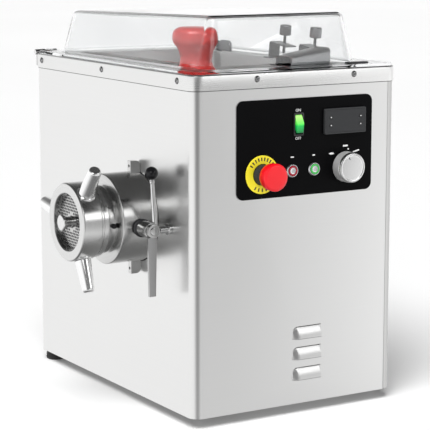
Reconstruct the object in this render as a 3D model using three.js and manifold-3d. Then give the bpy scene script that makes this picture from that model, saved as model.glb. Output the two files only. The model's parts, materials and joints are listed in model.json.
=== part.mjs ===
// A refrigerated table-top meat mincer: sheet-metal casing, meat tray with a clear lid, a size 32
// grinding head on the front (-Y), controls on the right (+X). Millimetres, +Z up, feet on z = 0.
import * as THREE from 'three';
import { mergeVertices } from 'three/addons/utils/BufferGeometryUtils.js';
import Module from 'manifold-3d';

// Driving dimensions
const BODY_WIDTH = 524;
const BODY_DEPTH = 362;
const BODY_HEIGHT = 510;
const FOOT_HEIGHT = 16;
const FOOT_RADIUS = 16.5;
const SHEET = 2;
const CASING_RADIUS = 16;
const SKIRT_HEIGHT = 23;
const SKIRT_PROUD = 2;
const TRAY_DEPTH = 56;
const LID_HEIGHT = 82;
const LID_TAPER = 16;
const LID_WALL = 4;
const GAP = 0.3;

const HEAD_X = 90;
const HEAD_HEIGHT = 283;
const HEAD_REACH = 120;
const SLEEVE_RADIUS = 69;
const BARREL_BORE = 44;
const PLATE_RADIUS = 49.7;
const PLATE_HOLE = 3.5;
const PLATE_PITCH = 12;
const NUT_RADIUS = 59.5;
const NUT_LENGTH = 45;
const NUT_HANDLE_LENGTH = 50;
const NUT_HANDLE_ANGLES = [52, 172, 292];
const THROAT_BORE = 37;
const THROAT_SETBACK = 107;
const WORM_PITCH = 60;

const PANEL_WIDTH = 242;
const PANEL_HEIGHT = 146.5;
const PANEL_THICK = 2;
const CONTROL_ROW = 361;
const ROCKER_TILT = 10;
const ROCKER_HALF_SPAN = 13.8;

const OUTPUT_TEETH = 34;
const COUNTER_PINION_TEETH = 17;
const OUTPUT_MODULE = 4;
const COUNTER_TEETH = 54;
const MOTOR_PINION_TEETH = 18;
const COUNTER_MODULE = 2.5;
const PRESSURE_ANGLE = THREE.MathUtils.degToRad(20);
const BACKLASH = 0.5;

// Derived levels and planes
const halfWidth = BODY_WIDTH / 2;
const halfDepth = BODY_DEPTH / 2;
const floorZ = FOOT_HEIGHT;
const rimTop = floorZ + BODY_HEIGHT;
const rimUnder = rimTop - 1.5;
const frontY = -halfDepth;
const sideX = halfWidth;
const headZ = floorZ + HEAD_HEIGHT;
const nutFront = frontY - HEAD_REACH;
const nutBack = nutFront + NUT_LENGTH;
const plateFront = nutFront + 9;
const plateBack = plateFront + 8.4;
const knifeBack = plateBack + GAP + 12;
const throatY = frontY + THROAT_SETBACK;
const panelFace = sideX + GAP + PANEL_THICK;
const controlZ = floorZ + CONTROL_ROW;
const trayFloor = rimUnder - TRAY_DEPTH;
const counterZ = headZ - OUTPUT_MODULE * (OUTPUT_TEETH + COUNTER_PINION_TEETH) / 2;
const motorZ = counterZ - COUNTER_MODULE * (COUNTER_TEETH + MOTOR_PINION_TEETH) / 2;

const wasm = await Module();
wasm.setup();

// Materials
const finish = (color, roughness, metalness) => ({ color, roughness, metalness });
const STEEL = finish('#c9cac9', 0.35, 1.0);
const POLISHED = finish('#d8d8d8', 0.12, 1.0);
const DARK_STEEL = finish('#5c5e60', 0.4, 1.0);
const CAST = finish('#7d8083', 0.6, 0.8);
const BLACK = finish('#111214', 0.45, 0.0);
const RUBBER = finish('#18181a', 0.85, 0.0);
const RED = finish('#d0141c', 0.35, 0.0);
const YELLOW = finish('#f2c811', 0.45, 0.0);
const GREEN = finish('#2fd02c', 0.3, 0.0);
const CLEAR = finish('#eef3f4', 0.05, 0.0);
const GREY_PLASTIC = finish('#3a3c40', 0.5, 0.0);
const COPPER = finish('#b87333', 0.4, 1.0);

const machine = new THREE.Group();

// Adds a named mesh to the machine.
function add(name, geometry, look) {
  const mesh = new THREE.Mesh(geometry, new THREE.MeshStandardMaterial(look));
  mesh.name = name;
  machine.add(mesh);
  return mesh;
}

// Turns a closed geometry into a manifold solid.
function solidOf(geometry) {
  const loose = geometry.index ? geometry.toNonIndexed() : geometry;
  const plain = new THREE.BufferGeometry();
  plain.setAttribute('position', loose.getAttribute('position').clone());
  const merged = mergeVertices(plain, 1e-4);
  const mesh = new wasm.Mesh({
    numProp: 3,
    vertProperties: merged.attributes.position.array,
    triVerts: new Uint32Array(merged.index.array),
  });
  return new wasm.Manifold(mesh);
}

function geometryOf(solid) {
  const mesh = solid.getMesh();
  const geometry = new THREE.BufferGeometry();
  geometry.setAttribute('position', new THREE.BufferAttribute(new Float32Array(mesh.vertProperties), 3));
  geometry.setIndex(new THREE.BufferAttribute(new Uint32Array(mesh.triVerts), 1));
  return geometry;
}

function join(...geometries) {
  return geometryOf(geometries.map(solidOf).reduce((all, next) => all.add(next)));
}

function cut(geometry, ...tools) {
  return geometryOf(tools.map(solidOf).reduce((rest, tool) => rest.subtract(tool), solidOf(geometry)));
}

// A box between two corners.
function box(x0, x1, y0, y1, z0, z1) {
  const geometry = new THREE.BoxGeometry(x1 - x0, y1 - y0, z1 - z0);
  return geometry.translate((x0 + x1) / 2, (y0 + y1) / 2, (z0 + z1) / 2);
}

// Turns a geometry made along +Y so that it lies along the named axis.
function layAlong(axis, geometry) {
  if (axis === 'z') geometry.rotateX(Math.PI / 2);
  if (axis === 'x') geometry.rotateZ(-Math.PI / 2);
  return geometry;
}

// Revolves a profile of [radius, station] points round an axis through the given point.
// Stations are positions along the axis. An open profile is closed onto the axis; a bored one
// repeats its first point at the end.
function turned(axis, centre, profile, segments = 24) {
  const points = profile.map(([radius, station]) => new THREE.Vector2(radius, station));
  const area = points.reduce((sum, p, i) => {
    const next = points[(i + 1) % points.length];
    return sum + p.x * next.y - next.x * p.y;
  }, 0);
  if (area < 0) points.reverse();
  const geometry = layAlong(axis, new THREE.LatheGeometry(points, segments));
  return geometry.translate(centre.x ?? 0, centre.y ?? 0, centre.z ?? 0);
}

function rod(axis, centre, radius, start, end, segments = 20) {
  return turned(axis, centre, [[0, start], [radius, start], [radius, end], [0, end]], segments);
}

function ring(axis, centre, inner, outer, start, end, segments = 20) {
  const profile = [[inner, start], [outer, start], [outer, end], [inner, end], [inner, start]];
  return turned(axis, centre, profile, segments);
}

// A rounded rectangle as a list of points, anticlockwise, centred on the origin.
function roundedOutline(width, depth, radius, steps = 4) {
  const points = [];
  const corners = [[1, 1, 0], [-1, 1, 90], [-1, -1, 180], [1, -1, 270]];
  for (const [sx, sy, start] of corners) {
    for (let step = 0; step <= steps; step += 1) {
      const angle = THREE.MathUtils.degToRad(start + 90 * step / steps);
      const x = sx * (width / 2 - radius) + radius * Math.cos(angle);
      const y = sy * (depth / 2 - radius) + radius * Math.sin(angle);
      points.push(new THREE.Vector2(x, y));
    }
  }
  return points;
}

// An outline, with optional holes, given thickness along +Z from z0 to z1.
function plateZ(outline, z0, z1, holes = []) {
  const shape = new THREE.Shape(outline);
  shape.holes = holes.map((hole) => new THREE.Path(hole));
  const geometry = new THREE.ExtrudeGeometry(shape, { depth: z1 - z0, bevelEnabled: false });
  return geometry.translate(0, 0, z0);
}

// The same for a plate in the YZ plane: outline x runs along Y and outline y along Z.
function plateX(outline, x0, x1, holes = []) {
  const geometry = plateZ(outline, x0, x1, holes);
  return geometry.applyMatrix4(new THREE.Matrix4().set(0, 0, 1, 0, 1, 0, 0, 0, 0, 1, 0, 0, 0, 0, 0, 1));
}

// The same for a plate in the XZ plane: outline x runs along X and outline y along Z.
function plateY(outline, y0, y1, holes = []) {
  const geometry = plateZ(outline, -y1, -y0, holes);
  return geometry.applyMatrix4(new THREE.Matrix4().set(1, 0, 0, 0, 0, 0, -1, 0, 0, 1, 0, 0, 0, 0, 0, 1));
}

function moved(outline, x, y) {
  return outline.map((p) => new THREE.Vector2(p.x + x, p.y + y));
}

function polygon(...pairs) {
  return pairs.map(([x, y]) => new THREE.Vector2(x, y));
}

function circleOutline(radius, x = 0, y = 0, segments = 24) {
  const points = [];
  for (let i = 0; i < segments; i += 1) {
    const angle = 2 * Math.PI * i / segments;
    points.push(new THREE.Vector2(x + radius * Math.cos(angle), y + radius * Math.sin(angle)));
  }
  return points;
}

// Skins a stack of rings that all have the same number of points, and caps the first and last.
function skinRings(rings) {
  const count = rings[0].length;
  const positions = rings.flat().flatMap((p) => [p.x, p.y, p.z]);
  const indices = [];
  for (let row = 0; row + 1 < rings.length; row += 1) {
    for (let i = 0; i < count; i += 1) {
      const a = row * count + i;
      const b = row * count + (i + 1) % count;
      indices.push(a, b, b + count, a, b + count, a + count);
    }
  }
  const last = (rings.length - 1) * count;
  for (let i = 1; i + 1 < count; i += 1) {
    indices.push(0, i + 1, i);
    indices.push(last, last + i, last + i + 1);
  }
  const geometry = new THREE.BufferGeometry();
  geometry.setAttribute('position', new THREE.Float32BufferAttribute(positions, 3));
  geometry.setIndex(indices);
  return geometry;
}

// A ring of a pressed or moulded pan: a rounded rectangle between two edges at one height.
function panRing({ x0, x1, y0, y1 }, inset, radius, z, steps = 4) {
  const outline = roundedOutline(x1 - x0 - 2 * inset, y1 - y0 - 2 * inset, Math.max(radius - inset, 1), steps);
  return moved(outline, (x0 + x1) / 2, (y0 + y1) / 2).map((p) => new THREE.Vector3(p.x, p.y, z));
}

// Casing -------------------------------------------------------------------------------------

const BASE_THICK = 3;
const rearInner = halfDepth - SHEET;
const LOUVRE = { front: -7, length: 52, height: 19, reach: 6, wall: 1.2, levels: [47, 79, 111] };
const trayOpening = { x0: -231, x1: 222, y0: -124, y1: 112 };
const TRAY_RADIUS = 32;
const panelCentre = { y: 13.3, z: floorZ + 395.9 };
const estop = { y: -65, z: controlZ - 2 };
const stopButton = { y: -11.8, z: controlZ };
const startButton = { y: 27.7, z: controlZ };
const knob = { y: 83.8, z: controlZ };
const thermostat = { y: 81.2, z: floorZ + 431.5, width: 77, height: 38.5 };
const rocker = { y: -0.6, z: floorZ + 430 };
const ESTOP_HOLE = 11.5;
const BUTTON_HOLE = 8.2;
const KNOB_HOLE = 5;
const LOCK = { x: 192, y: frontY - 30, z: floorZ + 277 };

// One louvre hood: a sloping sheet with closed ends, open at the bottom, standing off the side.
function louvreHood(level) {
  const z = floorZ + level;
  const top = z + LOUVRE.height / 2;
  const low = z - LOUVRE.height / 2;
  const outer = polygon([sideX - 1, low], [sideX + LOUVRE.reach, low], [sideX, top], [sideX - 1, top]);
  const hollowReach = sideX + LOUVRE.reach - LOUVRE.wall;
  const hollow = polygon([sideX - SHEET - 1, low - 1], [hollowReach, low - 1], [hollowReach, low],
    [sideX - 0.2, top - 3], [sideX - SHEET - 1, top - 3]);
  const back = LOUVRE.front + LOUVRE.length;
  return {
    hood: plateY(outer, LOUVRE.front, back),
    hollow: plateY(hollow, LOUVRE.front + LOUVRE.wall, back - LOUVRE.wall),
  };
}

function controlCutouts(x0, x1) {
  return [
    rod('x', estop, ESTOP_HOLE, x0, x1),
    rod('x', stopButton, BUTTON_HOLE, x0, x1),
    rod('x', startButton, BUTTON_HOLE, x0, x1),
    rod('x', knob, KNOB_HOLE, x0, x1, 16),
    box(x0, x1, thermostat.y - 36, thermostat.y + 36, thermostat.z - 15, thermostat.z + 15),
    box(x0, x1, rocker.y - 6.7, rocker.y + 6.7, rocker.z - 15.2, rocker.z + 15.2),
  ];
}

// The front and both sides, bent from one sheet and open at the back.
function bodyWrap() {
  const outer = roundedOutline(BODY_WIDTH, BODY_DEPTH, CASING_RADIUS);
  const inner = roundedOutline(BODY_WIDTH - 2 * SHEET, BODY_DEPTH - 2 * SHEET, CASING_RADIUS - SHEET);
  const tube = plateZ(outer, floorZ, rimUnder - GAP, [inner]);
  const louvres = LOUVRE.levels.map(louvreHood);
  const back = box(-sideX - 1, sideX + 1, halfDepth - CASING_RADIUS, halfDepth + 1, floorZ - 1, rimTop);
  const headHole = rod('y', { x: HEAD_X, z: headZ }, SLEEVE_RADIUS + 1, frontY - 5, frontY + 10, 36);
  const shell = join(cut(tube, back), ...louvres.map((l) => l.hood));
  const controls = controlCutouts(sideX - 20, sideX + 5);
  return cut(shell, headHole, ...louvres.map((l) => l.hollow), ...controls);
}

function rearCover() {
  const returnLip = halfDepth - CASING_RADIUS + GAP;
  const outer = roundedOutline(BODY_WIDTH, BODY_DEPTH, CASING_RADIUS);
  const inner = roundedOutline(BODY_WIDTH - 2 * SHEET, BODY_DEPTH - 2 * SHEET, CASING_RADIUS - SHEET);
  const tube = plateZ(outer, floorZ, rimUnder - GAP, [inner]);
  const front = box(-sideX - 1, sideX + 1, frontY - 1, returnLip, floorZ - 1, rimTop);
  const slots = [];
  for (let row = 0; row < 9; row += 1) {
    const z = floorZ + 50 + row * 18;
    slots.push(box(-225, -65, rearInner - 1, halfDepth + 1, z, z + 8));
  }
  const inlet = box(POWER.x - 14.3, POWER.x + 14.3, rearInner - 1, halfDepth + 1, POWER.z - 10.3, POWER.z + 10.3);
  return cut(tube, front, inlet, ...slots);
}

const POWER = { x: 190, z: floorZ + 55 };

function powerInlet() {
  const flange = box(POWER.x - 24, POWER.x + 24, halfDepth + GAP, halfDepth + 3, POWER.z - 14, POWER.z + 14);
  const well = box(POWER.x - 14, POWER.x + 14, rearInner - 22, halfDepth + 1, POWER.z - 10, POWER.z + 10);
  const socket = box(POWER.x - 12, POWER.x + 12, rearInner - 16, halfDepth + 5, POWER.z - 8, POWER.z + 8);
  const pins = [-7, 0, 7].map((x, i) => {
    const z = POWER.z + (i === 1 ? 3 : -3);
    return box(POWER.x + x - 1, POWER.x + x + 1, rearInner - 17, halfDepth - 1, z - 2.5, z + 2.5);
  });
  return join(cut(join(flange, well), socket), ...pins);
}

function topRim() {
  const width = BODY_WIDTH + 2 * SKIRT_PROUD;
  const depth = BODY_DEPTH + 2 * SKIRT_PROUD;
  const radius = CASING_RADIUS + SKIRT_PROUD;
  const wall = SKIRT_PROUD - GAP;
  const opening = moved(
    roundedOutline(trayOpening.x1 - trayOpening.x0, trayOpening.y1 - trayOpening.y0, TRAY_RADIUS),
    (trayOpening.x0 + trayOpening.x1) / 2,
    (trayOpening.y0 + trayOpening.y1) / 2,
  );
  const top = plateZ(roundedOutline(width, depth, radius), rimUnder, rimTop, [opening]);
  const skirtOuter = roundedOutline(width, depth, radius);
  const skirtInner = roundedOutline(width - 2 * wall, depth - 2 * wall, radius - wall);
  const skirt = plateZ(skirtOuter, rimTop - SKIRT_HEIGHT, rimUnder + 0.5, [skirtInner]);
  return join(top, skirt);
}

// The tray hangs in the rim opening by a narrow flange under the rim's top plate.
function meatTray() {
  const wall = 1.5;
  const flange = 7;
  const top = rimUnder - GAP;
  const radius = TRAY_RADIUS + flange;
  const edge = {
    x0: trayOpening.x0 - flange,
    x1: trayOpening.x1 + flange,
    y0: trayOpening.y0 - flange,
    y1: trayOpening.y1 + flange,
  };
  const draft = 2;
  const bend = 3.5;
  const pan = skinRings([
    panRing(edge, flange + draft + bend, radius, trayFloor),
    panRing(edge, flange + draft - wall, radius, trayFloor + bend),
    panRing(edge, flange - wall, radius, top - wall),
    panRing(edge, 0, radius, top - wall),
    panRing(edge, 0, radius, top),
    panRing(edge, flange, radius, top),
    panRing(edge, flange + draft, radius, trayFloor + bend + wall),
    panRing(edge, flange + draft + bend, radius, trayFloor + wall),
  ]);
  return cut(pan, rod('z', { x: HEAD_X, y: throatY }, THROAT_BORE + 4.2, trayFloor - 5, top));
}

function feedThroat() {
  const low = headZ + SLEEVE_RADIUS + 3.3;
  const seat = trayFloor + 1.5 + GAP;
  return turned('z', { x: HEAD_X, y: throatY }, [
    [THROAT_BORE, low],
    [THROAT_BORE + 3.5, low],
    [THROAT_BORE + 3.5, seat],
    [THROAT_BORE + 7, seat],
    [THROAT_BORE + 7, seat + 1.5],
    [THROAT_BORE, seat + 1.5],
    [THROAT_BORE, low],
  ]);
}

function foot(x, y) {
  return turned('z', { x, y }, [
    [0, 0],
    [FOOT_RADIUS - 2, 0],
    [FOOT_RADIUS, 3],
    [FOOT_RADIUS - 1.5, FOOT_HEIGHT - GAP],
    [0, FOOT_HEIGHT - GAP],
  ], 16);
}

function buildCasing() {
  const inside = halfDepth - SHEET - 0.5;
  const across = halfWidth - SHEET - 0.5;
  const base = roundedOutline(2 * across, 2 * inside, CASING_RADIUS - SHEET);
  add('base_plate', plateZ(base, floorZ, floorZ + BASE_THICK), STEEL);
  add('body_wrap', bodyWrap(), STEEL);
  add('rear_cover', rearCover(), STEEL);
  add('top_rim', topRim(), STEEL);
  add('meat_tray', meatTray(), STEEL);
  add('feed_throat', feedThroat(), POLISHED);
  add('power_inlet', powerInlet(), BLACK);
  const leftX = -halfWidth + 20;
  const rightX = halfWidth - 72;
  add('foot_front_left', foot(leftX, -halfDepth + 20), RUBBER);
  add('foot_rear_left', foot(leftX, halfDepth - 20), RUBBER);
  add('foot_front_right', foot(rightX, -halfDepth + 72), RUBBER);
  add('foot_rear_right', foot(rightX, halfDepth - 20), RUBBER);
}

// Controls -------------------------------------------------------------------------------------

function controlPanel() {
  const outline = moved(roundedOutline(PANEL_WIDTH, PANEL_HEIGHT, 10), panelCentre.y, panelCentre.z);
  return cut(plateX(outline, sideX + GAP, panelFace), ...controlCutouts(sideX - 5, panelFace + 5));
}

function rockerBody() {
  const pivot = 2;
  const half = ROCKER_HALF_SPAN;
  const profile = polygon([-6, -6], [0, -10.5], [1, -half], [2.5, -half], [7, 0], [2.5, half], [1, half],
    [0, 10.5], [-6, 6]);
  const geometry = plateY(profile, -6, 6);
  geometry.translate(pivot, 0, 0);
  geometry.rotateY(THREE.MathUtils.degToRad(-ROCKER_TILT));
  return geometry.translate(panelFace - pivot, rocker.y, rocker.z);
}

function thermostatBody() {
  const { y, z, width, height } = thermostat;
  const bezel = box(panelFace + GAP, panelFace + 5, y - width / 2, y + width / 2, z - height / 2, z + height / 2);
  const depth = box(panelFace - 55, panelFace + 1, y - 35.5, y + 35.5, z - 14.5, z + 14.5);
  const pockets = thermostatKeys().map((key) => rod('x', key, 2.6, panelFace + 2, panelFace + 6, 12));
  return cut(join(bezel, depth), ...pockets);
}

function thermostatKeys() {
  const keys = [];
  for (const side of [-1, 1]) {
    for (const level of [6, -6]) {
      keys.push({ y: thermostat.y + side * 27.2, z: thermostat.z + level });
    }
  }
  return keys;
}

function estopMushroom() {
  return turned('x', estop, [
    [0, panelFace - 12],
    [8, panelFace - 12],
    [8, panelFace + 18],
    [16, panelFace + 19],
    [20, panelFace + 24],
    [20.6, panelFace + 37],
    [18.6, panelFace + 40],
    [0, panelFace + 41],
  ]);
}

function pushButton(centre) {
  return rod('x', centre, BUTTON_HOLE - 0.6, panelFace - 10, panelFace + 4, 20);
}

function selectorKnob() {
  const body = turned('x', knob, [
    [0, panelFace - 12],
    [4.2, panelFace - 12],
    [4.2, panelFace + 0.8],
    [23.4, panelFace + 0.8],
    [23.2, panelFace + 20],
    [20.5, panelFace + 22.5],
    [0, panelFace + 22.5],
  ]);
  return body;
}

function buildControls() {
  add('control_panel', controlPanel(), BLACK);
  add('thermostat_body', thermostatBody(), GREY_PLASTIC);
  thermostatKeys().forEach((key, i) => {
    add(`thermostat_key_${i + 1}`, rod('x', key, 2.2, panelFace + 3, panelFace + 6, 10), GREY_PLASTIC);
  });
  add('rocker_switch', rockerBody(), GREEN);
  add('estop_legend', ring('x', estop, 16, 28.6, panelFace + GAP, panelFace + 1.5, 28), YELLOW);
  add('estop_mushroom', estopMushroom(), RED);
  add('stop_button', pushButton(stopButton), STEEL);
  add('start_button', pushButton(startButton), STEEL);
  add('selector_knob', selectorKnob(), POLISHED);
}

// Grinding head --------------------------------------------------------------------------------

const head = { x: HEAD_X, z: headZ };
const barrelRear = frontY + 161;
const THREAD_RADIUS = 54.2;
const MOUTH_BORE = 50;
const LUG_DEPTH = 17.5;
const LUG_X = HEAD_X + 9;

function grindingBarrel() {
  const mouth = plateFront + 2;
  const shoulder = nutBack + 13;
  const bodyOfBarrel = turned('y', head, [
    [MOUTH_BORE, mouth],
    [THREAD_RADIUS, mouth],
    [THREAD_RADIUS, nutBack + GAP],
    [THREAD_RADIUS - 3, nutBack + 1],
    [THREAD_RADIUS - 3, shoulder - 1],
    [THREAD_RADIUS + 2, shoulder],
    [SLEEVE_RADIUS, shoulder + 3],
    [SLEEVE_RADIUS, barrelRear],
    [16, barrelRear],
    [16, barrelRear - 10],
    [BARREL_BORE, barrelRear - 10],
    [BARREL_BORE, knifeBack + 2],
    [MOUTH_BORE, knifeBack + 1],
    [MOUTH_BORE, mouth],
  ], 36);
  const boss = rod('z', { x: HEAD_X, y: throatY }, THROAT_BORE + 9, headZ + 20, headZ + SLEEVE_RADIUS + 3);
  const hollow = turned('y', head, [[0, plateBack], [BARREL_BORE, plateBack], [BARREL_BORE, barrelRear - 10],
    [0, barrelRear - 10]], 36);
  const port = rod('z', { x: HEAD_X, y: throatY }, THROAT_BORE, headZ, headZ + SLEEVE_RADIUS + 5);
  const lugs = [1, -1].map((side) => {
    const reach = [headZ + side * (SLEEVE_RADIUS - 4), headZ + side * (SLEEVE_RADIUS + 18)].sort((a, b) => a - b);
    const lug = box(LUG_X - 5, LUG_X + 5, frontY - LUG_DEPTH, frontY - GAP, ...reach);
    const centre = { x: LUG_X, z: headZ + side * (SLEEVE_RADIUS + 10) };
    return cut(lug, rod('y', centre, 2.2, frontY - LUG_DEPTH - 1, frontY, 10));
  });
  return cut(join(bodyOfBarrel, cut(boss, hollow), ...lugs), port);
}

function ringNut() {
  const thread = THREAD_RADIUS + GAP;
  const nut = turned('y', head, [
    [43.5, nutFront],
    [NUT_RADIUS - 2, nutFront],
    [NUT_RADIUS, nutFront + 2],
    [NUT_RADIUS, nutFront + 31],
    [NUT_RADIUS - 4, nutFront + 32],
    [NUT_RADIUS - 4, nutBack],
    [thread, nutBack],
    [thread, plateFront + 1],
    [PLATE_RADIUS + GAP, plateFront - GAP],
    [43.5, plateFront - GAP],
    [43.5, nutFront],
  ], 36);
  const handles = NUT_HANDLE_ANGLES.map((angle) => {
    const start = NUT_RADIUS - 3;
    const tip = NUT_RADIUS + NUT_HANDLE_LENGTH;
    const handle = turned('x', {}, [[0, start], [12.5, start], [9.4, tip - 3], [7, tip], [0, tip]], 14);
    handle.rotateY(THREE.MathUtils.degToRad(-angle));
    return handle.translate(HEAD_X, nutFront + 16, headZ);
  });
  return join(nut, ...handles);
}

// Hexagonal grid of holes between the hub and the rim of the plate.
function platePattern(pitch, hubRadius, rimRadius) {
  const spots = [];
  const rows = Math.ceil(rimRadius / (pitch * Math.sqrt(3) / 2));
  for (let row = -rows; row <= rows; row += 1) {
    for (let column = -rows; column <= rows; column += 1) {
      const x = (column + (Math.abs(row) % 2) / 2) * pitch;
      const z = row * pitch * Math.sqrt(3) / 2;
      const distance = Math.hypot(x, z);
      if (distance > hubRadius && distance < rimRadius) spots.push({ x, z });
    }
  }
  return spots;
}

function perforatedPlate() {
  const holes = platePattern(PLATE_PITCH, 16, 43).map(({ x, z }) => circleOutline(PLATE_HOLE, x, z, 6));
  const hub = circleOutline(9.5, 0, 0, 16);
  const plate = plateY(circleOutline(PLATE_RADIUS, 0, 0, 36), plateFront, plateBack, [hub, ...holes]);
  return plate.translate(HEAD_X, 0, headZ);
}

function knife() {
  const outline = [];
  const arms = 4;
  for (let arm = 0; arm < arms; arm += 1) {
    const turn = 2 * Math.PI * arm / arms;
    const corners = [[17, -0.55], [46, -0.17], [47.5, 0.02], [45, 0.17], [22, 0.3]];
    for (const [radius, offset] of corners) {
      outline.push(new THREE.Vector2(radius * Math.cos(turn + offset), radius * Math.sin(turn + offset)));
    }
  }
  const square = polygon([-7.4, -7.4], [7.4, -7.4], [7.4, 7.4], [-7.4, 7.4]);
  const blade = plateY(outline, plateBack + GAP, knifeBack, [square]);
  return blade.translate(HEAD_X, 0, headZ);
}

// Single-start worm: a lobed section that turns once for each pitch.
function wormScrew() {
  const start = knifeBack + GAP;
  const end = barrelRear - 11;
  const perTurn = 9;
  const rows = Math.round((end - start) / WORM_PITCH * perTurn);
  const sectionPoints = 14;
  const rings = [];
  for (let row = 0; row <= rows; row += 1) {
    const y = start + (end - start) * row / rows;
    const turn = 2 * Math.PI * (y - start) / WORM_PITCH;
    const section = [];
    for (let i = 0; i < sectionPoints; i += 1) {
      const radius = i < 3 ? BARREL_BORE - 0.8 : 21;
      const angle = turn - 2 * Math.PI * i / sectionPoints;
      section.push(new THREE.Vector3(radius * Math.cos(angle), y, radius * Math.sin(angle)));
    }
    rings.push(section);
  }
  const flights = skinRings(rings).translate(HEAD_X, 0, headZ);
  const stub = box(HEAD_X - 7, HEAD_X + 7, plateBack + 0.4, start + 4, headZ - 7, headZ + 7);
  const journal = rod('y', head, 15.4, end - 2, barrelRear + GAP);
  const tang = box(HEAD_X - 8.5, HEAD_X + 8.5, barrelRear, barrelRear + 24, headZ - 8.5, headZ + 8.5);
  return join(flights, stub, journal, tang);
}

function wormStud() {
  return turned('y', head, [
    [0, nutFront - 9.6],
    [11.5, nutFront - 9.6],
    [12.5, nutFront - 8.4],
    [12.5, nutFront - 6],
    [8.5, nutFront - 5],
    [8.5, plateBack - 0.1],
    [0, plateBack - 0.1],
  ], 20);
}

function buildHead() {
  add('grinding_barrel', grindingBarrel(), STEEL);
  add('ring_nut', ringNut(), POLISHED);
  add('perforated_plate', perforatedPlate(), STEEL);
  add('cross_knife', knife(), STEEL);
  add('worm', wormScrew(), STEEL);
  add('worm_stud', wormStud(), POLISHED);
}

// Head lock: a stud on the front carries a cross pin that bears on the barrel's side and is turned by
// the ball lever. The clamp bar hangs on the pin's outer end, behind a small retaining head.
const LEVER_TILT = THREE.MathUtils.degToRad(4);
const LEVER_LENGTH = 78;
const CLAMP_LENGTH = 98;
const CLAMP_THICKNESS = 5.5;
const CLAMP_HUB_RADIUS = 10.5;
const CLAMP_OFFSET = -2;

// Stands a part made along +Z on the back of the cross pin, at the lever's lean.
function onLever(geometry) {
  return geometry.rotateX(LEVER_TILT).translate(LOCK.x - 4, LOCK.y + 8, LOCK.z);
}

function buildLock() {
  const stud = rod('y', { x: LOCK.x, z: LOCK.z }, 5.5, LOCK.y + 12.4, frontY - GAP, 20);
  add('lock_stud', stud, POLISHED);
  const pinStart = HEAD_X + SLEEVE_RADIUS + 0.8;
  const barStart = LOCK.x + 0.8;
  const barEnd = barStart + CLAMP_THICKNESS;
  const axis = { y: LOCK.y, z: LOCK.z };
  const crossPin = turned('x', axis, [
    [0, pinStart],
    [14, pinStart],
    [14, pinStart + 5],
    [12, pinStart + 6],
    [12, barStart - GAP],
    [4, barStart - GAP],
    [4, barEnd + GAP],
    [6, barEnd + GAP],
    [5, barEnd + 2],
    [0, barEnd + 2],
  ], 20);
  const lever = onLever(turned('z', {}, [[0, 3], [4.2, 3], [3.2, LEVER_LENGTH], [0, LEVER_LENGTH]], 16));
  add('ball_lever', join(crossPin, lever), POLISHED);
  const ball = onLever(turned('z', {}, [
    [0, LEVER_LENGTH - 2],
    [4.5, LEVER_LENGTH - 1.7],
    [8.4, LEVER_LENGTH + 1.2],
    [10.2, LEVER_LENGTH + 7.5],
    [8.6, LEVER_LENGTH + 13.3],
    [5.2, LEVER_LENGTH + 16.6],
    [0, LEVER_LENGTH + 17.7],
  ], 16));
  const shank = onLever(rod('z', {}, 4.4, LEVER_LENGTH - 8, LEVER_LENGTH + 0.4, 16));
  add('lever_ball', cut(ball, shank), BLACK);
  const hub = ring('x', axis, 4 + GAP, CLAMP_HUB_RADIUS, barStart, barEnd, 24);
  const blade = plateX(polygon([-7, -7], [-5.5, -CLAMP_LENGTH], [5.5, -CLAMP_LENGTH], [7.5, -7]),
    barStart, barEnd);
  add('clamp_bar', join(hub, blade.translate(0, LOCK.y + CLAMP_OFFSET, LOCK.z)), STEEL);
}

// Lid, hinges, pusher and guard ------------------------------------------------------------------

const lidUnder = rimTop + 0.4;
const lidEdge = { x0: -halfWidth, x1: halfWidth, y0: -halfDepth, y1: halfDepth };
const lidWall = { x0: -halfWidth + 12, x1: halfWidth - 24, y0: -halfDepth + 37, y1: halfDepth - 52 };
const LID_FALL = 12;
const HINGE = { x: -halfWidth - 8, z: rimTop + 1, radius: 4.5, pin: 1.8, starts: [-178, 138], length: 40 };

// Lowers the lid's top towards the hinges.
function leanLid(ring) {
  for (const point of ring) {
    const rise = Math.max(0, point.z - lidUnder - LID_WALL) / LID_HEIGHT;
    const toHinges = (lidWall.x1 - point.x) / (lidWall.x1 - lidWall.x0);
    point.z -= LID_FALL * toHinges * rise;
  }
  return ring;
}

function lidShell() {
  const flangeTop = lidUnder + LID_WALL;
  const top = lidUnder + LID_HEIGHT;
  const outerRadius = 30;
  const fillet = 6;
  const wallRing = (inset, z) => leanLid(panRing(lidWall, inset, outerRadius, z));
  const rings = [
    wallRing(LID_TAPER + 12, top),
    wallRing(LID_TAPER + 3, top - 3),
    wallRing(LID_TAPER - 1, top - 11),
    wallRing(0, flangeTop + fillet),
    wallRing(-2.5, flangeTop + 1.5),
    wallRing(-fillet, flangeTop),
    panRing(lidEdge, 0, 20, flangeTop),
    panRing(lidEdge, 0, 20, lidUnder),
    wallRing(LID_WALL - fillet, lidUnder),
    wallRing(LID_WALL, lidUnder + fillet + 2),
    wallRing(LID_TAPER + 3, top - 12),
    wallRing(LID_TAPER + 6.5, top - 6),
    wallRing(LID_TAPER + 13, top - LID_WALL),
  ];
  return skinRings(rings.reverse());
}

function fixedHinge(start) {
  const { x, z, radius, pin, length } = HINGE;
  const end = start + length;
  const skirtFace = -halfWidth - SKIRT_PROUD - GAP;
  const leaf = box(skirtFace - 2, skirtFace, start, end, rimTop - 21, z);
  const barrel = rod('y', { x, z }, radius, start, end, 16);
  const window = box(x - 10, -halfWidth + 20, start + 12, end - 12, z - 6, z + 10);
  const roundPin = rod('y', { x, z }, pin, start + 5, end - 5, 12);
  const web = box(x, skirtFace, start, end, rimTop - 6, z);
  return join(cut(join(barrel, leaf, web), window), roundPin);
}

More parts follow.
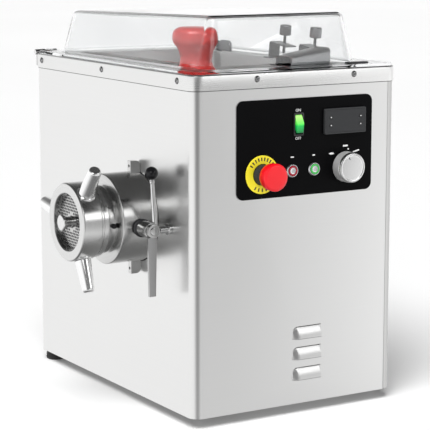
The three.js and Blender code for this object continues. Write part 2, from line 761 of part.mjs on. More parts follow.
function movingHinge(start) {
  const { x, z, radius, pin, length } = HINGE;
  const low = start + 12 + GAP;
  const high = start + length - 12 - GAP;
  const leafUnder = lidUnder + LID_WALL + GAP;
  const knuckle = rod('y', { x, z }, radius, low, high, 16);
  const leaf = box(x, lidWall.x0 - 6.5, low, high, leafUnder, leafUnder + 1.5);
  const bore = rod('y', { x, z }, pin + GAP, low - 1, high + 1, 12);
  return cut(join(knuckle, leaf), bore);
}

function pusher() {
  const seat = trayFloor + 1.5 + GAP + 1.5 + GAP;
  return turned('z', { x: HEAD_X, y: throatY }, [
    [0, headZ + 100],
    [THROAT_BORE - 3.5, headZ + 100],
    [THROAT_BORE - 2, headZ + 104],
    [THROAT_BORE - 2, seat],
    [THROAT_BORE + 6, seat],
    [THROAT_BORE + 6, seat + 6],
    [36, seat + 14],
    [28.5, rimTop - 6],
    [23.5, rimTop + 3],
    [22.5, rimTop + 11],
    [25, rimTop + 22],
    [32, rimTop + 34],
    [35, rimTop + 42],
    [33, rimTop + 51],
    [25, rimTop + 57.5],
    [0, rimTop + 58],
  ], 20);
}

const GUARD = { front: 14, rear: 84, frontScale: 0.55 };

// Lowers the guard's channel towards its open front end.
function slopeGuard(geometry) {
  const points = geometry.attributes.position;
  for (let i = 0; i < points.count; i += 1) {
    const along = (points.getY(i) - GUARD.front) / (GUARD.rear - GUARD.front);
    points.setZ(i, points.getZ(i) * (GUARD.frontScale + (1 - GUARD.frontScale) * along));
  }
  return geometry;
}

// Sheet guard over the tray's right end: a channel along Y on a flat foot.
function feedGuard() {
  const x0 = 172;
  const foot = box(x0, 232, 6, 84, rimTop + GAP, rimTop + 2.3);
  const outer = polygon([x0 + 6, 0], [x0 + 6, 20], [x0 + 12, 26], [x0 + 44, 26], [x0 + 50, 20], [x0 + 50, 0]);
  const inner = polygon([x0 + 8, -1], [x0 + 8, 19.2], [x0 + 12.8, 24], [x0 + 43.2, 24], [x0 + 48, 19.2],
    [x0 + 48, -1]);
  const channel = cut(plateY(outer, GUARD.front, GUARD.rear), plateY(inner, GUARD.front - 2, GUARD.rear - 2));
  const holes = [[x0 + 20, 13], [x0 + 36, 13]].map(([x, z]) => rod('y', { x, z }, 5, 78, 90, 14));
  return join(foot, slopeGuard(cut(channel, ...holes)).translate(0, 0, rimTop + 2));
}

const BRACKETS = [42, 127];
const BRACKET_TILT = 8;
const BRACKET_RISE = 25;
const SCREW = { x: 28.5, y: 98 };

// A bent strip on the tray's rear edge: foot, upright and a shelf for the thumbscrew.
function clampBracket(x) {
  const shelf = SCREW.x + 19;
  const high = BRACKET_RISE + 2;
  const strip = polygon([0, 0], [2, 0], [2, BRACKET_RISE], [shelf, BRACKET_RISE], [shelf, high], [0, high]);
  const tilt = THREE.MathUtils.degToRad(BRACKET_TILT);
  const standing = plateY(strip, 88, 108).rotateY(tilt).translate(x, 0, rimTop + 2);
  const foot = box(x - 16, x + 2, 88, 121, rimTop + GAP, rimTop + 2.3);
  const solid = join(foot, standing);
  const hole = rod('z', SCREW, 3, BRACKET_RISE - 3, BRACKET_RISE + 5, 12);
  return cut(solid, hole.rotateY(tilt).translate(x, 0, rimTop + 2));
}

function thumbscrew(x) {
  const screw = turned('z', SCREW, [
    [0, 12],
    [2.5, 12],
    [2.5, 42],
    [9.2, 42],
    [9.2, 57],
    [8, 58],
    [0, 58],
  ], 16);
  return screw.rotateY(THREE.MathUtils.degToRad(BRACKET_TILT)).translate(x, 0, rimTop + 2);
}

function buildTop() {
  add('lid', lidShell(), CLEAR);
  const names = ['front', 'rear'];
  HINGE.starts.forEach((start, i) => {
    add(`hinge_fixed_${names[i]}`, fixedHinge(start), STEEL);
    add(`hinge_moving_${names[i]}`, movingHinge(start), STEEL);
  });
  const magnetUnder = lidUnder + LID_WALL + GAP;
  add('lid_magnet', box(246, 258, 95, 131, magnetUnder, magnetUnder + 3), BLACK);
  add('pusher', pusher(), RED);
  add('feed_guard', feedGuard(), DARK_STEEL);
  add('clamp_bracket_left', clampBracket(BRACKETS[0]), DARK_STEEL);
  add('clamp_bracket_right', clampBracket(BRACKETS[1]), DARK_STEEL);
  add('thumbscrew_left', thumbscrew(BRACKETS[0]), DARK_STEEL);
  add('thumbscrew_right', thumbscrew(BRACKETS[1]), DARK_STEEL);
}

// Drive: motor below, two gear stages, output shaft level with the worm ---------------------------

const coverFront = frontY + 241;
const COVER_THICK = 14;
const cavityFront = coverFront + COVER_THICK + GAP;
const CAVITY_DEPTH = 72;
const HOUSING_WALL = 6;
const OUTPUT_SHAFT = 20;
const COUNTER_SHAFT = 12;
const MOTOR_SHAFT = 10;
const BEARING_RADIUS = 36;

// Involute gear outline round the origin; a tooth is centred on the given angle from +Y.
function gearOutline(teeth, module, toothAngle) {
  const pitch = teeth * module / 2;
  const base = pitch * Math.cos(PRESSURE_ANGLE);
  const involute = (radius) => {
    const angle = Math.acos(Math.min(1, base / radius));
    return Math.tan(angle) - angle;
  };
  const halfPitchTooth = Math.PI / (2 * teeth) - BACKLASH / (2 * pitch);
  const halfAngle = (radius) => halfPitchTooth + involute(pitch) - involute(Math.max(radius, base));
  const radii = [pitch - 1.25 * module, pitch + 0.95 * module];
  const outline = [];
  for (let tooth = 0; tooth < teeth; tooth += 1) {
    const centre = Math.PI / 2 + toothAngle + 2 * Math.PI * tooth / teeth;
    const flank = (radius, side) => {
      const angle = centre + side * halfAngle(radius);
      return new THREE.Vector2(radius * Math.cos(angle), radius * Math.sin(angle));
    };
    radii.forEach((radius) => outline.push(flank(radius, -1)));
    [...radii].reverse().forEach((radius) => outline.push(flank(radius, 1)));
  }
  return outline;
}

function gear(teeth, module, toothAngle, z, y0, y1, bore) {
  const holes = bore ? [circleOutline(bore + GAP, 0, 0, 24)] : [];
  return plateY(gearOutline(teeth, module, toothAngle), y0, y1, holes).translate(HEAD_X, 0, z);
}

function buildDrive() {
  const stageTwo = cavityFront + 8;
  const stageOne = cavityFront + 42;
  const cavityBack = cavityFront + CAVITY_DEPTH;
  const counter = { x: HEAD_X, z: counterZ };
  const motor = { x: HEAD_X, z: motorZ };
  const shaftStart = barrelRear + 0.6;
  const tangHole = box(HEAD_X - 8.8, HEAD_X + 8.8, shaftStart - 1, barrelRear + 25, headZ - 8.8, headZ + 8.8);
  add('output_shaft', cut(rod('y', head, OUTPUT_SHAFT, shaftStart, cavityBack - 2), tangHole), POLISHED);
  const outputGear = gear(OUTPUT_TEETH, OUTPUT_MODULE, Math.PI, headZ, stageTwo, stageTwo + 22, OUTPUT_SHAFT);
  add('output_gear', outputGear, CAST);
  const pinionAngle = Math.PI / COUNTER_PINION_TEETH;
  const pinion = gear(COUNTER_PINION_TEETH, OUTPUT_MODULE, pinionAngle, counterZ, stageTwo - 2, stageTwo + 24, 0);
  const counterShaft = rod('y', counter, COUNTER_SHAFT, cavityFront + 1, cavityBack - 1, 20);
  add('countershaft', join(pinion, counterShaft), POLISHED);
  const counterGear = gear(COUNTER_TEETH, COUNTER_MODULE, Math.PI, counterZ, stageOne, stageOne + 16, COUNTER_SHAFT);
  add('countershaft_gear', counterGear, CAST);
  const motorTeeth = gear(MOTOR_PINION_TEETH, COUNTER_MODULE, Math.PI / MOTOR_PINION_TEETH, motorZ,
    stageOne - 2, stageOne + 18, 0);
  const motorShaft = rod('y', motor, MOTOR_SHAFT, coverFront - 60, stageOne + 2, 20);
  add('motor_pinion_shaft', join(motorTeeth, motorShaft), POLISHED);

  const low = floorZ + BASE_THICK + GAP;
  const high = headZ + 92;
  const outline = moved(roundedOutline(184, high - low, 20), HEAD_X, (high + low) / 2);
  const cavity = moved(roundedOutline(172, high - low - 12, 14), HEAD_X, (high + low) / 2);
  const wall = plateY(outline, cavityFront, cavityBack + HOUSING_WALL);
  const hollow = plateY(cavity, cavityFront - 1, cavityBack);
  add('gearbox_housing', cut(wall, hollow), CAST);
  const cover = plateY(outline, coverFront, coverFront + COVER_THICK);
  const bearingSeat = rod('y', head, BEARING_RADIUS + GAP, coverFront - 1, coverFront + COVER_THICK + 1);
  const motorSeat = rod('y', motor, MOTOR_SHAFT + 4, coverFront - 1, coverFront + COVER_THICK + 1);
  add('gearbox_cover', cut(cover, bearingSeat, motorSeat), CAST);
  const bearing = ring('y', head, OUTPUT_SHAFT + GAP, BEARING_RADIUS, coverFront + 1, coverFront + 13);
  add('output_bearing', bearing, POLISHED);

  const socketFront = barrelRear + GAP;
  const socketBack = coverFront - GAP;
  add('head_socket', turned('y', head, [
    [27, socketFront],
    [66, socketFront],
    [66, socketFront + 8],
    [48, socketFront + 9],
    [48, socketBack - 9],
    [66, socketBack - 8],
    [66, socketBack],
    [27, socketBack],
    [27, socketFront],
  ], 20), CAST);
  add('shaft_seal', ring('y', head, OUTPUT_SHAFT + GAP, 26.7, socketFront + 4, socketFront + 14), RUBBER);

  const motorBack = coverFront - GAP;
  const stator = turned('y', motor, [
    [0, frontY + 18],
    [68, frontY + 18],
    [75, frontY + 28],
    [75, motorBack - 12],
    [79, motorBack - 11],
    [79, motorBack],
    [0, motorBack],
  ], 20);
  const rotorBore = rod('y', motor, MOTOR_SHAFT + 1, coverFront - 62, coverFront + 1, 20);
  add('drive_motor', cut(stator, rotorBore), CAST);
  add('electrical_box', box(192, 256, -150, 40, floorZ + 142, floorZ + 300), GREY_PLASTIC);
}

// Refrigeration set -------------------------------------------------------------------------------

function buildCooling() {
  const compressorLow = floorZ + BASE_THICK + GAP;
  add('compressor', turned('z', { x: -150, y: 0 }, [
    [0, compressorLow],
    [70, compressorLow],
    [72, compressorLow + 8],
    [64, compressorLow + 12],
    [64, compressorLow + 130],
    [52, compressorLow + 158],
    [0, compressorLow + 166],
  ], 20), BLACK);
  const middle = { x: -145, z: floorZ + 125 };
  add('condenser', box(middle.x - 92, middle.x + 92, 144, 170, middle.z - 88, middle.z + 88), COPPER);
  const blade = [];
  for (let i = 0; i < 5; i += 1) {
    const outline = polygon([12, -9], [72, -20], [76, 14], [12, 9]);
    const vane = plateY(outline, 120, 123).rotateY(2 * Math.PI * i / 5);
    blade.push(vane);
  }
  const hub = rod('y', {}, 16, 114, 130, 20);
  add('condenser_fan', join(hub, ...blade).translate(middle.x, 0, middle.z), BLACK);
}

buildCasing();
buildControls();
buildHead();
buildLock();
buildTop();
buildDrive();
buildCooling();

// The origin is the middle of the whole machine's footprint, on the surface it stands on.
const extent = new THREE.Box3().setFromObject(machine, true);
machine.position.set(-(extent.min.x + extent.max.x) / 2, -(extent.min.y + extent.max.y) / 2, 0);

export default machine;
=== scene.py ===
import json
from math import cos, hypot, pi, radians, sin, sqrt

import bpy
import bmesh
from mathutils import Matrix, Vector
from mathutils.geometry import tessellate_polygon


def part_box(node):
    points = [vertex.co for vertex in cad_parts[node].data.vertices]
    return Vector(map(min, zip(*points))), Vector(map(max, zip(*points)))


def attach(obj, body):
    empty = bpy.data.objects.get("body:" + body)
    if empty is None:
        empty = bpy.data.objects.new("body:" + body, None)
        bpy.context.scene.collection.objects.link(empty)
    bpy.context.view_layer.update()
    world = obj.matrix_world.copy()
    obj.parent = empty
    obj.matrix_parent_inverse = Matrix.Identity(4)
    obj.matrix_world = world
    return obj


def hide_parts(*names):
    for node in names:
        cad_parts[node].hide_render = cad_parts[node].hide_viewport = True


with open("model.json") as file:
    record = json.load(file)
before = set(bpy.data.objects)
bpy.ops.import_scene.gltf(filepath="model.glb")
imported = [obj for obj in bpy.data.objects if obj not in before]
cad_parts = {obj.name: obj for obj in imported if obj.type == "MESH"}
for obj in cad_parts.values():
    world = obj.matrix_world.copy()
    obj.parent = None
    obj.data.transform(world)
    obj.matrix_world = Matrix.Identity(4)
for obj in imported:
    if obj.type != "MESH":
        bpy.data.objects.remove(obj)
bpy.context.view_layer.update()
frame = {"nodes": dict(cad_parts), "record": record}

# Every shape is drawn in millimetres from the middle of the casing, as the CAD is, and placed with V.
_low, _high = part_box("top_rim")
OX, OY = (_low.x + _high.x) / 2, (_low.y + _high.y) / 2


def V(x, y, z):
    return Vector((x / 1000 + OX, y / 1000 + OY, z / 1000))


HALF_W, HALF_D = 262.0, 181.0
FRONT, SIDE = -HALF_D, HALF_W
FLOOR_Z, RIM_TOP, RIM_UNDER = 16.0, 526.0, 524.5
HEAD_X, HEAD_Z = 90.0, 299.0
NUT_FRONT, NUT_BACK = -301.0, -256.0
SLEEVE_R, NUT_R = 69.0, 59.5
BARREL_REAR = -20.0
THROAT_Y, THROAT_BORE = -74.0, 37.0
TRAY_FLOOR = 468.5
PANEL_FACE = 264.3
PANEL_CENTRE, PANEL_W, PANEL_H = (13.3, 411.9), 242.0, 146.5
# Middles of the controls, as (y, z) on the panel.
ESTOP, STOP, START, KNOB = (-65.0, 375.0), (-11.8, 377.0), (27.7, 377.0), (83.8, 377.0)
ROCKER = (-0.6, 446.0)
THERMOSTAT, THERMOSTAT_W, THERMOSTAT_H = (82.0, 447.3), 75.0, 38.5
LOCK = Vector((192.0, -211.0, 293.0))
LID_UNDER = 526.4
# Boxes in plan: low x, high x, low y, high y.
LID_WALL_BOX = (-250.0, 238.0, -144.0, 129.0)
TRAY_BOX = (-231.0, 222.0, -124.0, 112.0)


# Mesh helpers

def new_object(name, data):
    obj = bpy.data.objects.new(name, data)
    bpy.context.scene.collection.objects.link(obj)
    return obj


def finish_mesh(name, mesh, mat, body, nodes, smooth):
    mesh.validate()
    bm = bmesh.new()
    bm.from_mesh(mesh)
    bmesh.ops.remove_doubles(bm, verts=bm.verts, dist=1e-7)
    bmesh.ops.recalc_face_normals(bm, faces=bm.faces)
    bm.to_mesh(mesh)
    bm.free()
    shade(mesh, smooth)
    mesh.materials.append(mat)
    obj = new_object(name, mesh)
    if body:
        dress(obj, body, nodes)
    return obj


def shade(mesh, smooth):
    mesh.polygons.foreach_set("use_smooth", [bool(smooth)] * len(mesh.polygons))
    if smooth:
        mesh.set_sharp_from_angle(angle=radians(smooth))
    mesh.update()


def dress(obj, body, nodes=()):
    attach(obj, body)
    if nodes:
        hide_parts(*nodes)
    return obj


def build(name, verts, faces, mat, body=None, nodes=(), slot=None, smooth=35):
    mesh = bpy.data.meshes.new(name)
    mesh.from_pydata([V(*v) for v in verts], [], faces)
    return finish_mesh(name, mesh, mat, body, nodes, smooth)


def combine(*parts):
    verts, faces = [], []
    for v, f in parts:
        base = len(verts)
        verts += list(v)
        faces += [tuple(i + base for i in face) for face in f]
    return verts, faces


ON_AXIS = 1e-6


def rounded(profile, steps=4):
    """Rounds the corners of a profile: each point is (r, s) or (r, s, fillet)."""
    out = []
    for i, p in enumerate(profile):
        fillet = p[2] if len(p) > 2 else 0
        here = Vector(p[:2])
        if not fillet or i in (0, len(profile) - 1):
            out.append(tuple(here))
            continue
        a, b = Vector(profile[i - 1][:2]) - here, Vector(profile[i + 1][:2]) - here
        reach = min(fillet, a.length * 0.49, b.length * 0.49)
        p0, p1 = here + a.normalized() * reach, here + b.normalized() * reach
        for k in range(steps + 1):
            t = k / steps
            out.append(tuple(p0 * (1 - t) ** 2 + here * 2 * t * (1 - t) + p1 * t * t))
    return out


def lathe(axis, centre, profile, segments=96, steps=4, ribs=None):
    """Revolves a profile of (radius, station) round an axis; a profile ending on its start is a ring.
    ribs(radius, station, angle) returns the radius there."""
    pts = rounded(profile, steps)
    loop = len(profile) > 2 and tuple(profile[0][:2]) == tuple(profile[-1][:2])
    if loop:
        pts = pts[:-1]
    verts, rows = [], []
    for r, s in pts:
        if r < ON_AXIS:
            rows.append([len(verts)] * segments)
            verts.append((0.0, 0.0, s))
            continue
        row = []
        for k in range(segments):
            a = 2 * pi * k / segments
            q = ribs(r, s, a) if ribs else r
            row.append(len(verts))
            verts.append((q * cos(a), q * sin(a), s))
        rows.append(row)
    faces = []
    pairs = list(zip(rows, rows[1:])) + ([(rows[-1], rows[0])] if loop else [])
    for ra, rb in pairs:
        for k in range(segments):
            m = (k + 1) % segments
            face = []
            for i in (ra[k], ra[m], rb[m], rb[k]):
                if i not in face:
                    face.append(i)
            if len(face) > 2:
                faces.append(tuple(face))
    order = {"x": (2, 0, 1), "y": (0, 2, 1), "z": (0, 1, 2)}[axis]
    return [tuple(c + v[i] for c, i in zip(centre, order)) for v in verts], faces


def rod(r, low, high):
    """The profile of a plain cylinder."""
    return [(0, low), (r, low), (r, high), (0, high)]


def shifted(profile, by):
    return [(p[0], p[1] + by, *p[2:]) for p in profile]


def sweep_rings(rings, closed=False):
    """Skins rings that have the same number of points. Ends are capped unless the stack is closed."""
    n = len(rings[0])
    verts = [p for ring in rings for p in ring]
    faces = []
    count = len(rings)
    for r in range(count if closed else count - 1):
        a, b = r * n, ((r + 1) % count) * n
        for i in range(n):
            j = (i + 1) % n
            faces.append((a + i, a + j, b + j, b + i))
    if not closed:
        faces.append(tuple(range(n)))
        faces.append(tuple(range((count - 1) * n, count * n)))
    return verts, faces


CORNERS = ((1, 1, 0), (-1, 1, 90), (-1, -1, 180), (1, -1, 270))


def corner_points(corners, half_w, half_d, r, steps, cx=0.0, cy=0.0):
    """Points round the given corners of a rectangle with round corners."""
    out = []
    for sx, sy, start in corners:
        for k in range(steps + 1):
            a = radians(start + 90 * k / steps)
            out.append((cx + sx * (half_w - r) + r * cos(a), cy + sy * (half_d - r) + r * sin(a)))
    return out


def rect_outline(w, d, r, steps=10, cx=0.0, cy=0.0):
    return corner_points(CORNERS, w / 2, d / 2, r, steps, cx, cy)


def pan_ring(box, inset, radius, z, steps=10):
    x0, x1, y0, y1 = box
    ring = rect_outline(x1 - x0 - 2 * inset, y1 - y0 - 2 * inset, max(radius - inset, 0.6), steps,
                        (x0 + x1) / 2, (y0 + y1) / 2)
    return [(x, y, z) for x, y in ring]


def prism(outline, a, b, plane="x", holes=()):
    """A plate between stations a and b. plane x: outline is (y, z); y: (x, z); z: (x, y)."""
    loops = [list(outline)] + [list(h) for h in holes]
    flat = [p for loop in loops for p in loop]
    n = len(flat)
    at = "xyz".index(plane)
    verts = [(*p[:at], station, *p[at:]) for station in (a, b) for p in flat]
    faces = []
    if holes:
        tris = tessellate_polygon([[Vector((p[0], p[1], 0)) for p in loop] for loop in loops])
        faces += [tuple(t) for t in tris] + [tuple(i + n for i in reversed(t)) for t in tris]
    else:
        faces += [tuple(range(n)), tuple(range(2 * n - 1, n - 1, -1))]
    base = 0
    for loop in loops:
        m = len(loop)
        for i in range(m):
            j = (i + 1) % m
            faces.append((base + i, base + j, base + j + n, base + i + n))
        base += m
    return verts, faces


def circle(r, cx=0.0, cy=0.0, n=48):
    return [(cx + r * cos(2 * pi * k / n), cy + r * sin(2 * pi * k / n)) for k in range(n)]


def block(x0, x1, y0, y1, z0, z1):
    verts = [(x, y, z) for x in (x0, x1) for y in (y0, y1) for z in (z0, z1)]
    faces = [(0, 1, 3, 2), (4, 6, 7, 5), (0, 4, 5, 1), (2, 3, 7, 6), (0, 2, 6, 4), (1, 5, 7, 3)]
    return verts, faces


def turned_verts(shape, matrix):
    verts, faces = shape
    return [tuple(matrix @ Vector(v)) for v in verts], faces


def placed(point, axis, degrees):
    """Turns a shape about an axis through the origin and moves it to the point."""
    return Matrix.Translation(point) @ Matrix.Rotation(radians(degrees), 4, axis)


def about(point, axis, degrees):
    return placed(point, axis, degrees) @ Matrix.Translation(-Vector(point))


def bevel(obj, width, segments=2, angle=30):
    m = obj.modifiers.new("edge", "BEVEL")
    m.width = width / 1000
    m.segments = segments
    m.limit_method = "ANGLE"
    m.angle_limit = radians(angle)
    return obj


def settle(obj, smooth=None):
    """Makes the modifiers part of the mesh."""
    bpy.context.view_layer.update()
    deps = bpy.context.evaluated_depsgraph_get()
    mesh = bpy.data.meshes.new_from_object(obj.evaluated_get(deps))
    obj.modifiers.clear()
    old = obj.data
    obj.data = mesh
    bpy.data.meshes.remove(old)
    mesh.name = obj.name
    if smooth:
        shade(mesh, smooth)
    return obj


def carve(obj, shapes, smooth=35):
    """Cuts closed shapes out of obj."""
    cutter = build(obj.name + "_cutter", *combine(*shapes), obj.data.materials[0], smooth=0)
    m = obj.modifiers.new("cut", "BOOLEAN")
    m.operation = "DIFFERENCE"
    m.solver = "EXACT"
    m.use_self = True
    m.object = cutter
    settle(obj, smooth)
    bpy.data.objects.remove(cutter)
    return obj


# Materials

class Nodes:
    """Builds the node tree of a material or a world."""

    def __init__(self, owner, surface):
        owner.use_nodes = True
        self.owner, self.tree = owner, owner.node_tree
        self.surface = self.tree.nodes[surface]

    def add(self, kind, **values):
        node = self.tree.nodes.new(kind)
        for key, value in values.items():
            if key in node.inputs:
                node.inputs[key].default_value = value
            else:
                setattr(node, key, value)
        return node

    def link(self, a, b):
        self.tree.links.new(a, b)

    def coords(self, scale=(1.0, 1.0, 1.0)):
        mp = self.add("ShaderNodeMapping", Scale=scale)
        self.link(self.add("ShaderNodeTexCoord").outputs["Object"], mp.inputs["Vector"])
        return mp.outputs["Vector"]

    def noise(self, vector, scale, detail=3.0, rough=0.55):
        n = self.add("ShaderNodeTexNoise", Scale=scale, Detail=detail, Roughness=rough)
        self.link(vector, n.inputs["Vector"])
        return n.outputs["Fac"]

    def split(self, output):
        sep = self.add("ShaderNodeSeparateXYZ")
        self.link(output, sep.inputs["Vector"])
        return sep.outputs

    def remap(self, value, low, high, from_low=0.0, from_high=1.0, kind="LINEAR"):
        limits = {"From Min": from_low, "From Max": from_high, "To Min": low, "To Max": high}
        r = self.add("ShaderNodeMapRange", interpolation_type=kind, **limits)
        self.link(value, r.inputs["Value"])
        return r.outputs["Result"]

    def math(self, op, a, b):
        m = self.add("ShaderNodeMath", operation=op)
        for i, v in enumerate((a, b)):
            if isinstance(v, (int, float)):
                m.inputs[i].default_value = v
            else:
                self.link(v, m.inputs[i])
        return m.outputs[0]

    def ramp(self, value, stops):
        r = self.add("ShaderNodeValToRGB")
        while len(r.color_ramp.elements) < len(stops):
            r.color_ramp.elements.new(0.5)
        for e, (pos, col) in zip(r.color_ramp.elements, stops):
            e.position = pos
            e.color = (*col, 1.0)
        self.link(value, r.inputs["Fac"])
        return r.outputs["Color"]

    def bump(self, height, strength, distance):
        b = self.add("ShaderNodeBump", Strength=strength, Distance=distance)
        self.link(height, b.inputs["Height"])
        self.drive(b.outputs["Normal"], "Normal")

    def drive(self, output, *sockets):
        for socket in sockets:
            self.link(output, self.surface.inputs[socket])

    def paint(self, value, col, low, high):
        """Colours the surface between a darker and a lighter shade."""
        dark, light = (tuple(min(1.0, c * k) for c in col) for k in (low, high))
        self.drive(self.ramp(value, [(0.3, dark), (0.7, light)]), "Base Color")

    def set(self, **values):
        for key, value in values.items():
            self.surface.inputs[key.replace("_", " ")].default_value = value
        return self.owner


def material(name):
    return Nodes(bpy.data.materials.new(name), "Principled BSDF")


def brushed_metal(name, col, rough, streak, spread=0.05, bump=0.03, aniso=0.35, metallic=1.0, tone=0.03):
    """Sheet metal with fine streaks, drawn out along the axes where streak is small."""
    n = material(name)
    fine = n.noise(n.coords(streak), 1.0, 4.0, 0.6)
    wide = n.noise(n.coords((3.0, 3.0, 3.0)), 2.2, 2.0, 0.5)
    n.paint(fine, col, 1 - tone, 1 + tone / 2)
    r = n.math("ADD", n.remap(fine, -spread / 2, spread / 2), n.remap(wide, rough - 0.03, rough + 0.03))
    n.drive(r, "Roughness")
    n.bump(fine, bump, 0.0002)
    return n.set(Metallic=metallic, Anisotropic=aniso)


RINGS_PER_METRE = 1600.0


def turned_metal(name, col, rough, centre, axis="y", spread=0.07, bump=0.05):
    """Lathe-turned metal: fine rings round an axis through centre, in metres."""
    n = material(name)
    place = n.split(n.add("ShaderNodeTexCoord").outputs["Object"])
    along = "xyz".index(axis)
    off = [n.math("SUBTRACT", place[k], centre[k]) for k in range(3) if k != along]
    squares = [n.math("MULTIPLY", d, d) for d in off]
    radius = n.math("SQRT", n.math("ADD", *squares), 0.0)
    comb = n.add("ShaderNodeCombineXYZ")
    n.link(n.math("MULTIPLY", radius, RINGS_PER_METRE), comb.inputs["X"])
    n.link(n.math("MULTIPLY", place[along], RINGS_PER_METRE), comb.inputs["Y"])
    rings = n.noise(comb.outputs["Vector"], 1.0, 3.0, 0.6)
    wide = n.noise(n.coords(), 22.0, 2.0, 0.5)
    n.paint(rings, col, 0.93, 1.04)
    r = n.math("ADD", n.remap(rings, -spread / 2, spread / 2), n.remap(wide, rough - 0.04, rough + 0.04))
    n.drive(r, "Roughness")
    n.bump(rings, bump, 0.0002)
    return n.set(Metallic=1.0)


def plastic(name, col, rough, grain=900.0, bump=0.05, specular=0.5, coat=0.0, mottling=0.06):
    n = material(name)
    v = n.coords()
    fine = n.noise(v, grain, 3.0, 0.6)
    wide = n.noise(v, 14.0, 3.0, 0.5)
    n.paint(wide, col, 1 - mottling, 1 + mottling)
    r = n.math("ADD", n.remap(wide, -0.04, 0.04), n.remap(fine, rough - 0.03, rough + 0.03))
    n.drive(r, "Roughness")
    n.bump(fine, bump, 0.0001)
    return n.set(Specular_IOR_Level=specular, Coat_Weight=coat, Coat_Roughness=0.08)


def cast_metal(name, col, rough, metallic=0.85):
    n = material(name)
    v = n.coords()
    fine = n.noise(v, 420.0, 5.0, 0.65)
    wide = n.noise(v, 18.0, 3.0, 0.5)
    n.paint(wide, col, 0.85, 1.1)
    n.drive(n.remap(fine, rough - 0.08, rough + 0.08), "Roughness")
    n.bump(fine, 0.35, 0.0006)
    return n.set(Metallic=metallic)


def clear_plastic(name, ior=1.45):
    n = material(name)
    v = n.coords()
    n.bump(n.noise(v, 9.0, 2.0, 0.5), 0.03, 0.002)
    n.drive(n.remap(n.noise(v, 30.0, 3.0, 0.5), 0.01, 0.05), "Roughness")
    tint = n.ramp(n.noise(v, 5.0, 1.0, 0.5), [(0.3, (0.935, 0.942, 0.946)), (0.7, (0.965, 0.97, 0.973))])
    n.drive(tint, "Base Color")
    return n.set(Transmission_Weight=1.0, IOR=ior)


def glow(name, col, strength, rough=0.3):
    n = material(name)
    v = n.coords()
    dark, light = (tuple(c * k for c in col) for k in (0.85, 1.1))
    n.drive(n.ramp(n.noise(v, 60.0, 2.0, 0.5), [(0.3, dark), (0.7, light)]), "Base Color", "Emission Color")
    n.drive(n.remap(n.noise(v, 400.0), rough - 0.05, rough + 0.05), "Roughness")
    return n.set(Emission_Strength=strength)


def rocker_with_painted_light(name):
    """Clear green plastic that glows faintly, with painted light: its colour is painted lighter and
    yellower towards its upper end as a painted highlight, and darker towards its lower end as painted
    shade.
    """
    n = material(name)
    place = n.split(n.add("ShaderNodeTexCoord").outputs["Object"])
    middle, reach = ROCKER[1] / 1000, 0.012
    height = n.remap(place["Z"], 0.0, 1.0, middle - reach, middle + reach)
    # Painted highlight and shade: dark green at the bottom, through green, to yellow-green at the top.
    c = n.ramp(height, [(0.0, (0.005, 0.20, 0.05)), (0.42, (0.01, 0.50, 0.08)),
                        (0.55, (0.12, 0.85, 0.10)), (1.0, (0.42, 0.95, 0.22))])
    n.drive(c, "Base Color", "Emission Color")
    n.drive(n.remap(n.noise(n.coords(), 500.0), 0.14, 0.24), "Roughness")
    return n.set(Emission_Strength=0.14)


head_centre = V(HEAD_X, 0, HEAD_Z)
LEVEL_GRAIN = (4.0, 4.0, 1500.0)
FAINT = dict(spread=0.025, bump=0.004, tone=0.012)
SHEET_STEEL = brushed_metal("sheet_steel", (0.83, 0.83, 0.825), 0.30, LEVEL_GRAIN, **FAINT)
REAR_STEEL = brushed_metal("rear_sheet_steel", (0.58, 0.58, 0.575), 0.36, LEVEL_GRAIN, 0.03, 0.006,
                           tone=0.015)
RIM_STEEL = brushed_metal("rim_steel", (0.81, 0.81, 0.805), 0.28, LEVEL_GRAIN, **FAINT)
TRAY_STEEL = brushed_metal("tray_steel", (0.72, 0.72, 0.715), 0.36, (6.0, 700.0, 700.0))
DARK_STEEL = brushed_metal("dark_steel", (0.19, 0.193, 0.197), 0.33, (700.0, 10.0, 700.0))
BAR_STEEL = brushed_metal("bar_steel", (0.52, 0.52, 0.52), 0.30, (900.0, 900.0, 12.0))
HEAD_STEEL = turned_metal("head_steel", (0.66, 0.66, 0.655), 0.20, head_centre)
NUT_STEEL = turned_metal("nut_steel", (0.72, 0.72, 0.715), 0.20, head_centre)
PLATE_STEEL = brushed_metal("plate_steel", (0.62, 0.62, 0.615), 0.26, (300.0, 300.0, 20.0))
EVEN_GRAIN = (300.0, 300.0, 300.0)
HANDLE_STEEL = brushed_metal("handle_steel", (0.95, 0.95, 0.95), 0.14, (250.0, 250.0, 250.0), bump=0.02,
                             aniso=0.0)
POLISHED = brushed_metal("polished_steel", (0.78, 0.78, 0.78), 0.12, EVEN_GRAIN, bump=0.015, aniso=0.0)
LOCK_STEEL = turned_metal("lock_steel", (0.66, 0.66, 0.655), 0.18, V(0, LOCK.y, LOCK.z), "x")
KNOB_STEEL = turned_metal("knob_face_steel", (0.80, 0.80, 0.80), 0.24, V(0, *KNOB), "x")
KNURL_STEEL = cast_metal("knob_side_steel", (0.50, 0.50, 0.50), 0.5, metallic=0.4)
SCREW_STEEL = brushed_metal("screw_steel", (0.38, 0.38, 0.385), 0.16, EVEN_GRAIN, bump=0.02, aniso=0.0)
BUTTON_STEEL = turned_metal("button_steel_turned", (0.70, 0.71, 0.72), 0.26, V(0, *STOP), "x")
CAST = cast_metal("cast_iron_grey", (0.36, 0.37, 0.38), 0.5)
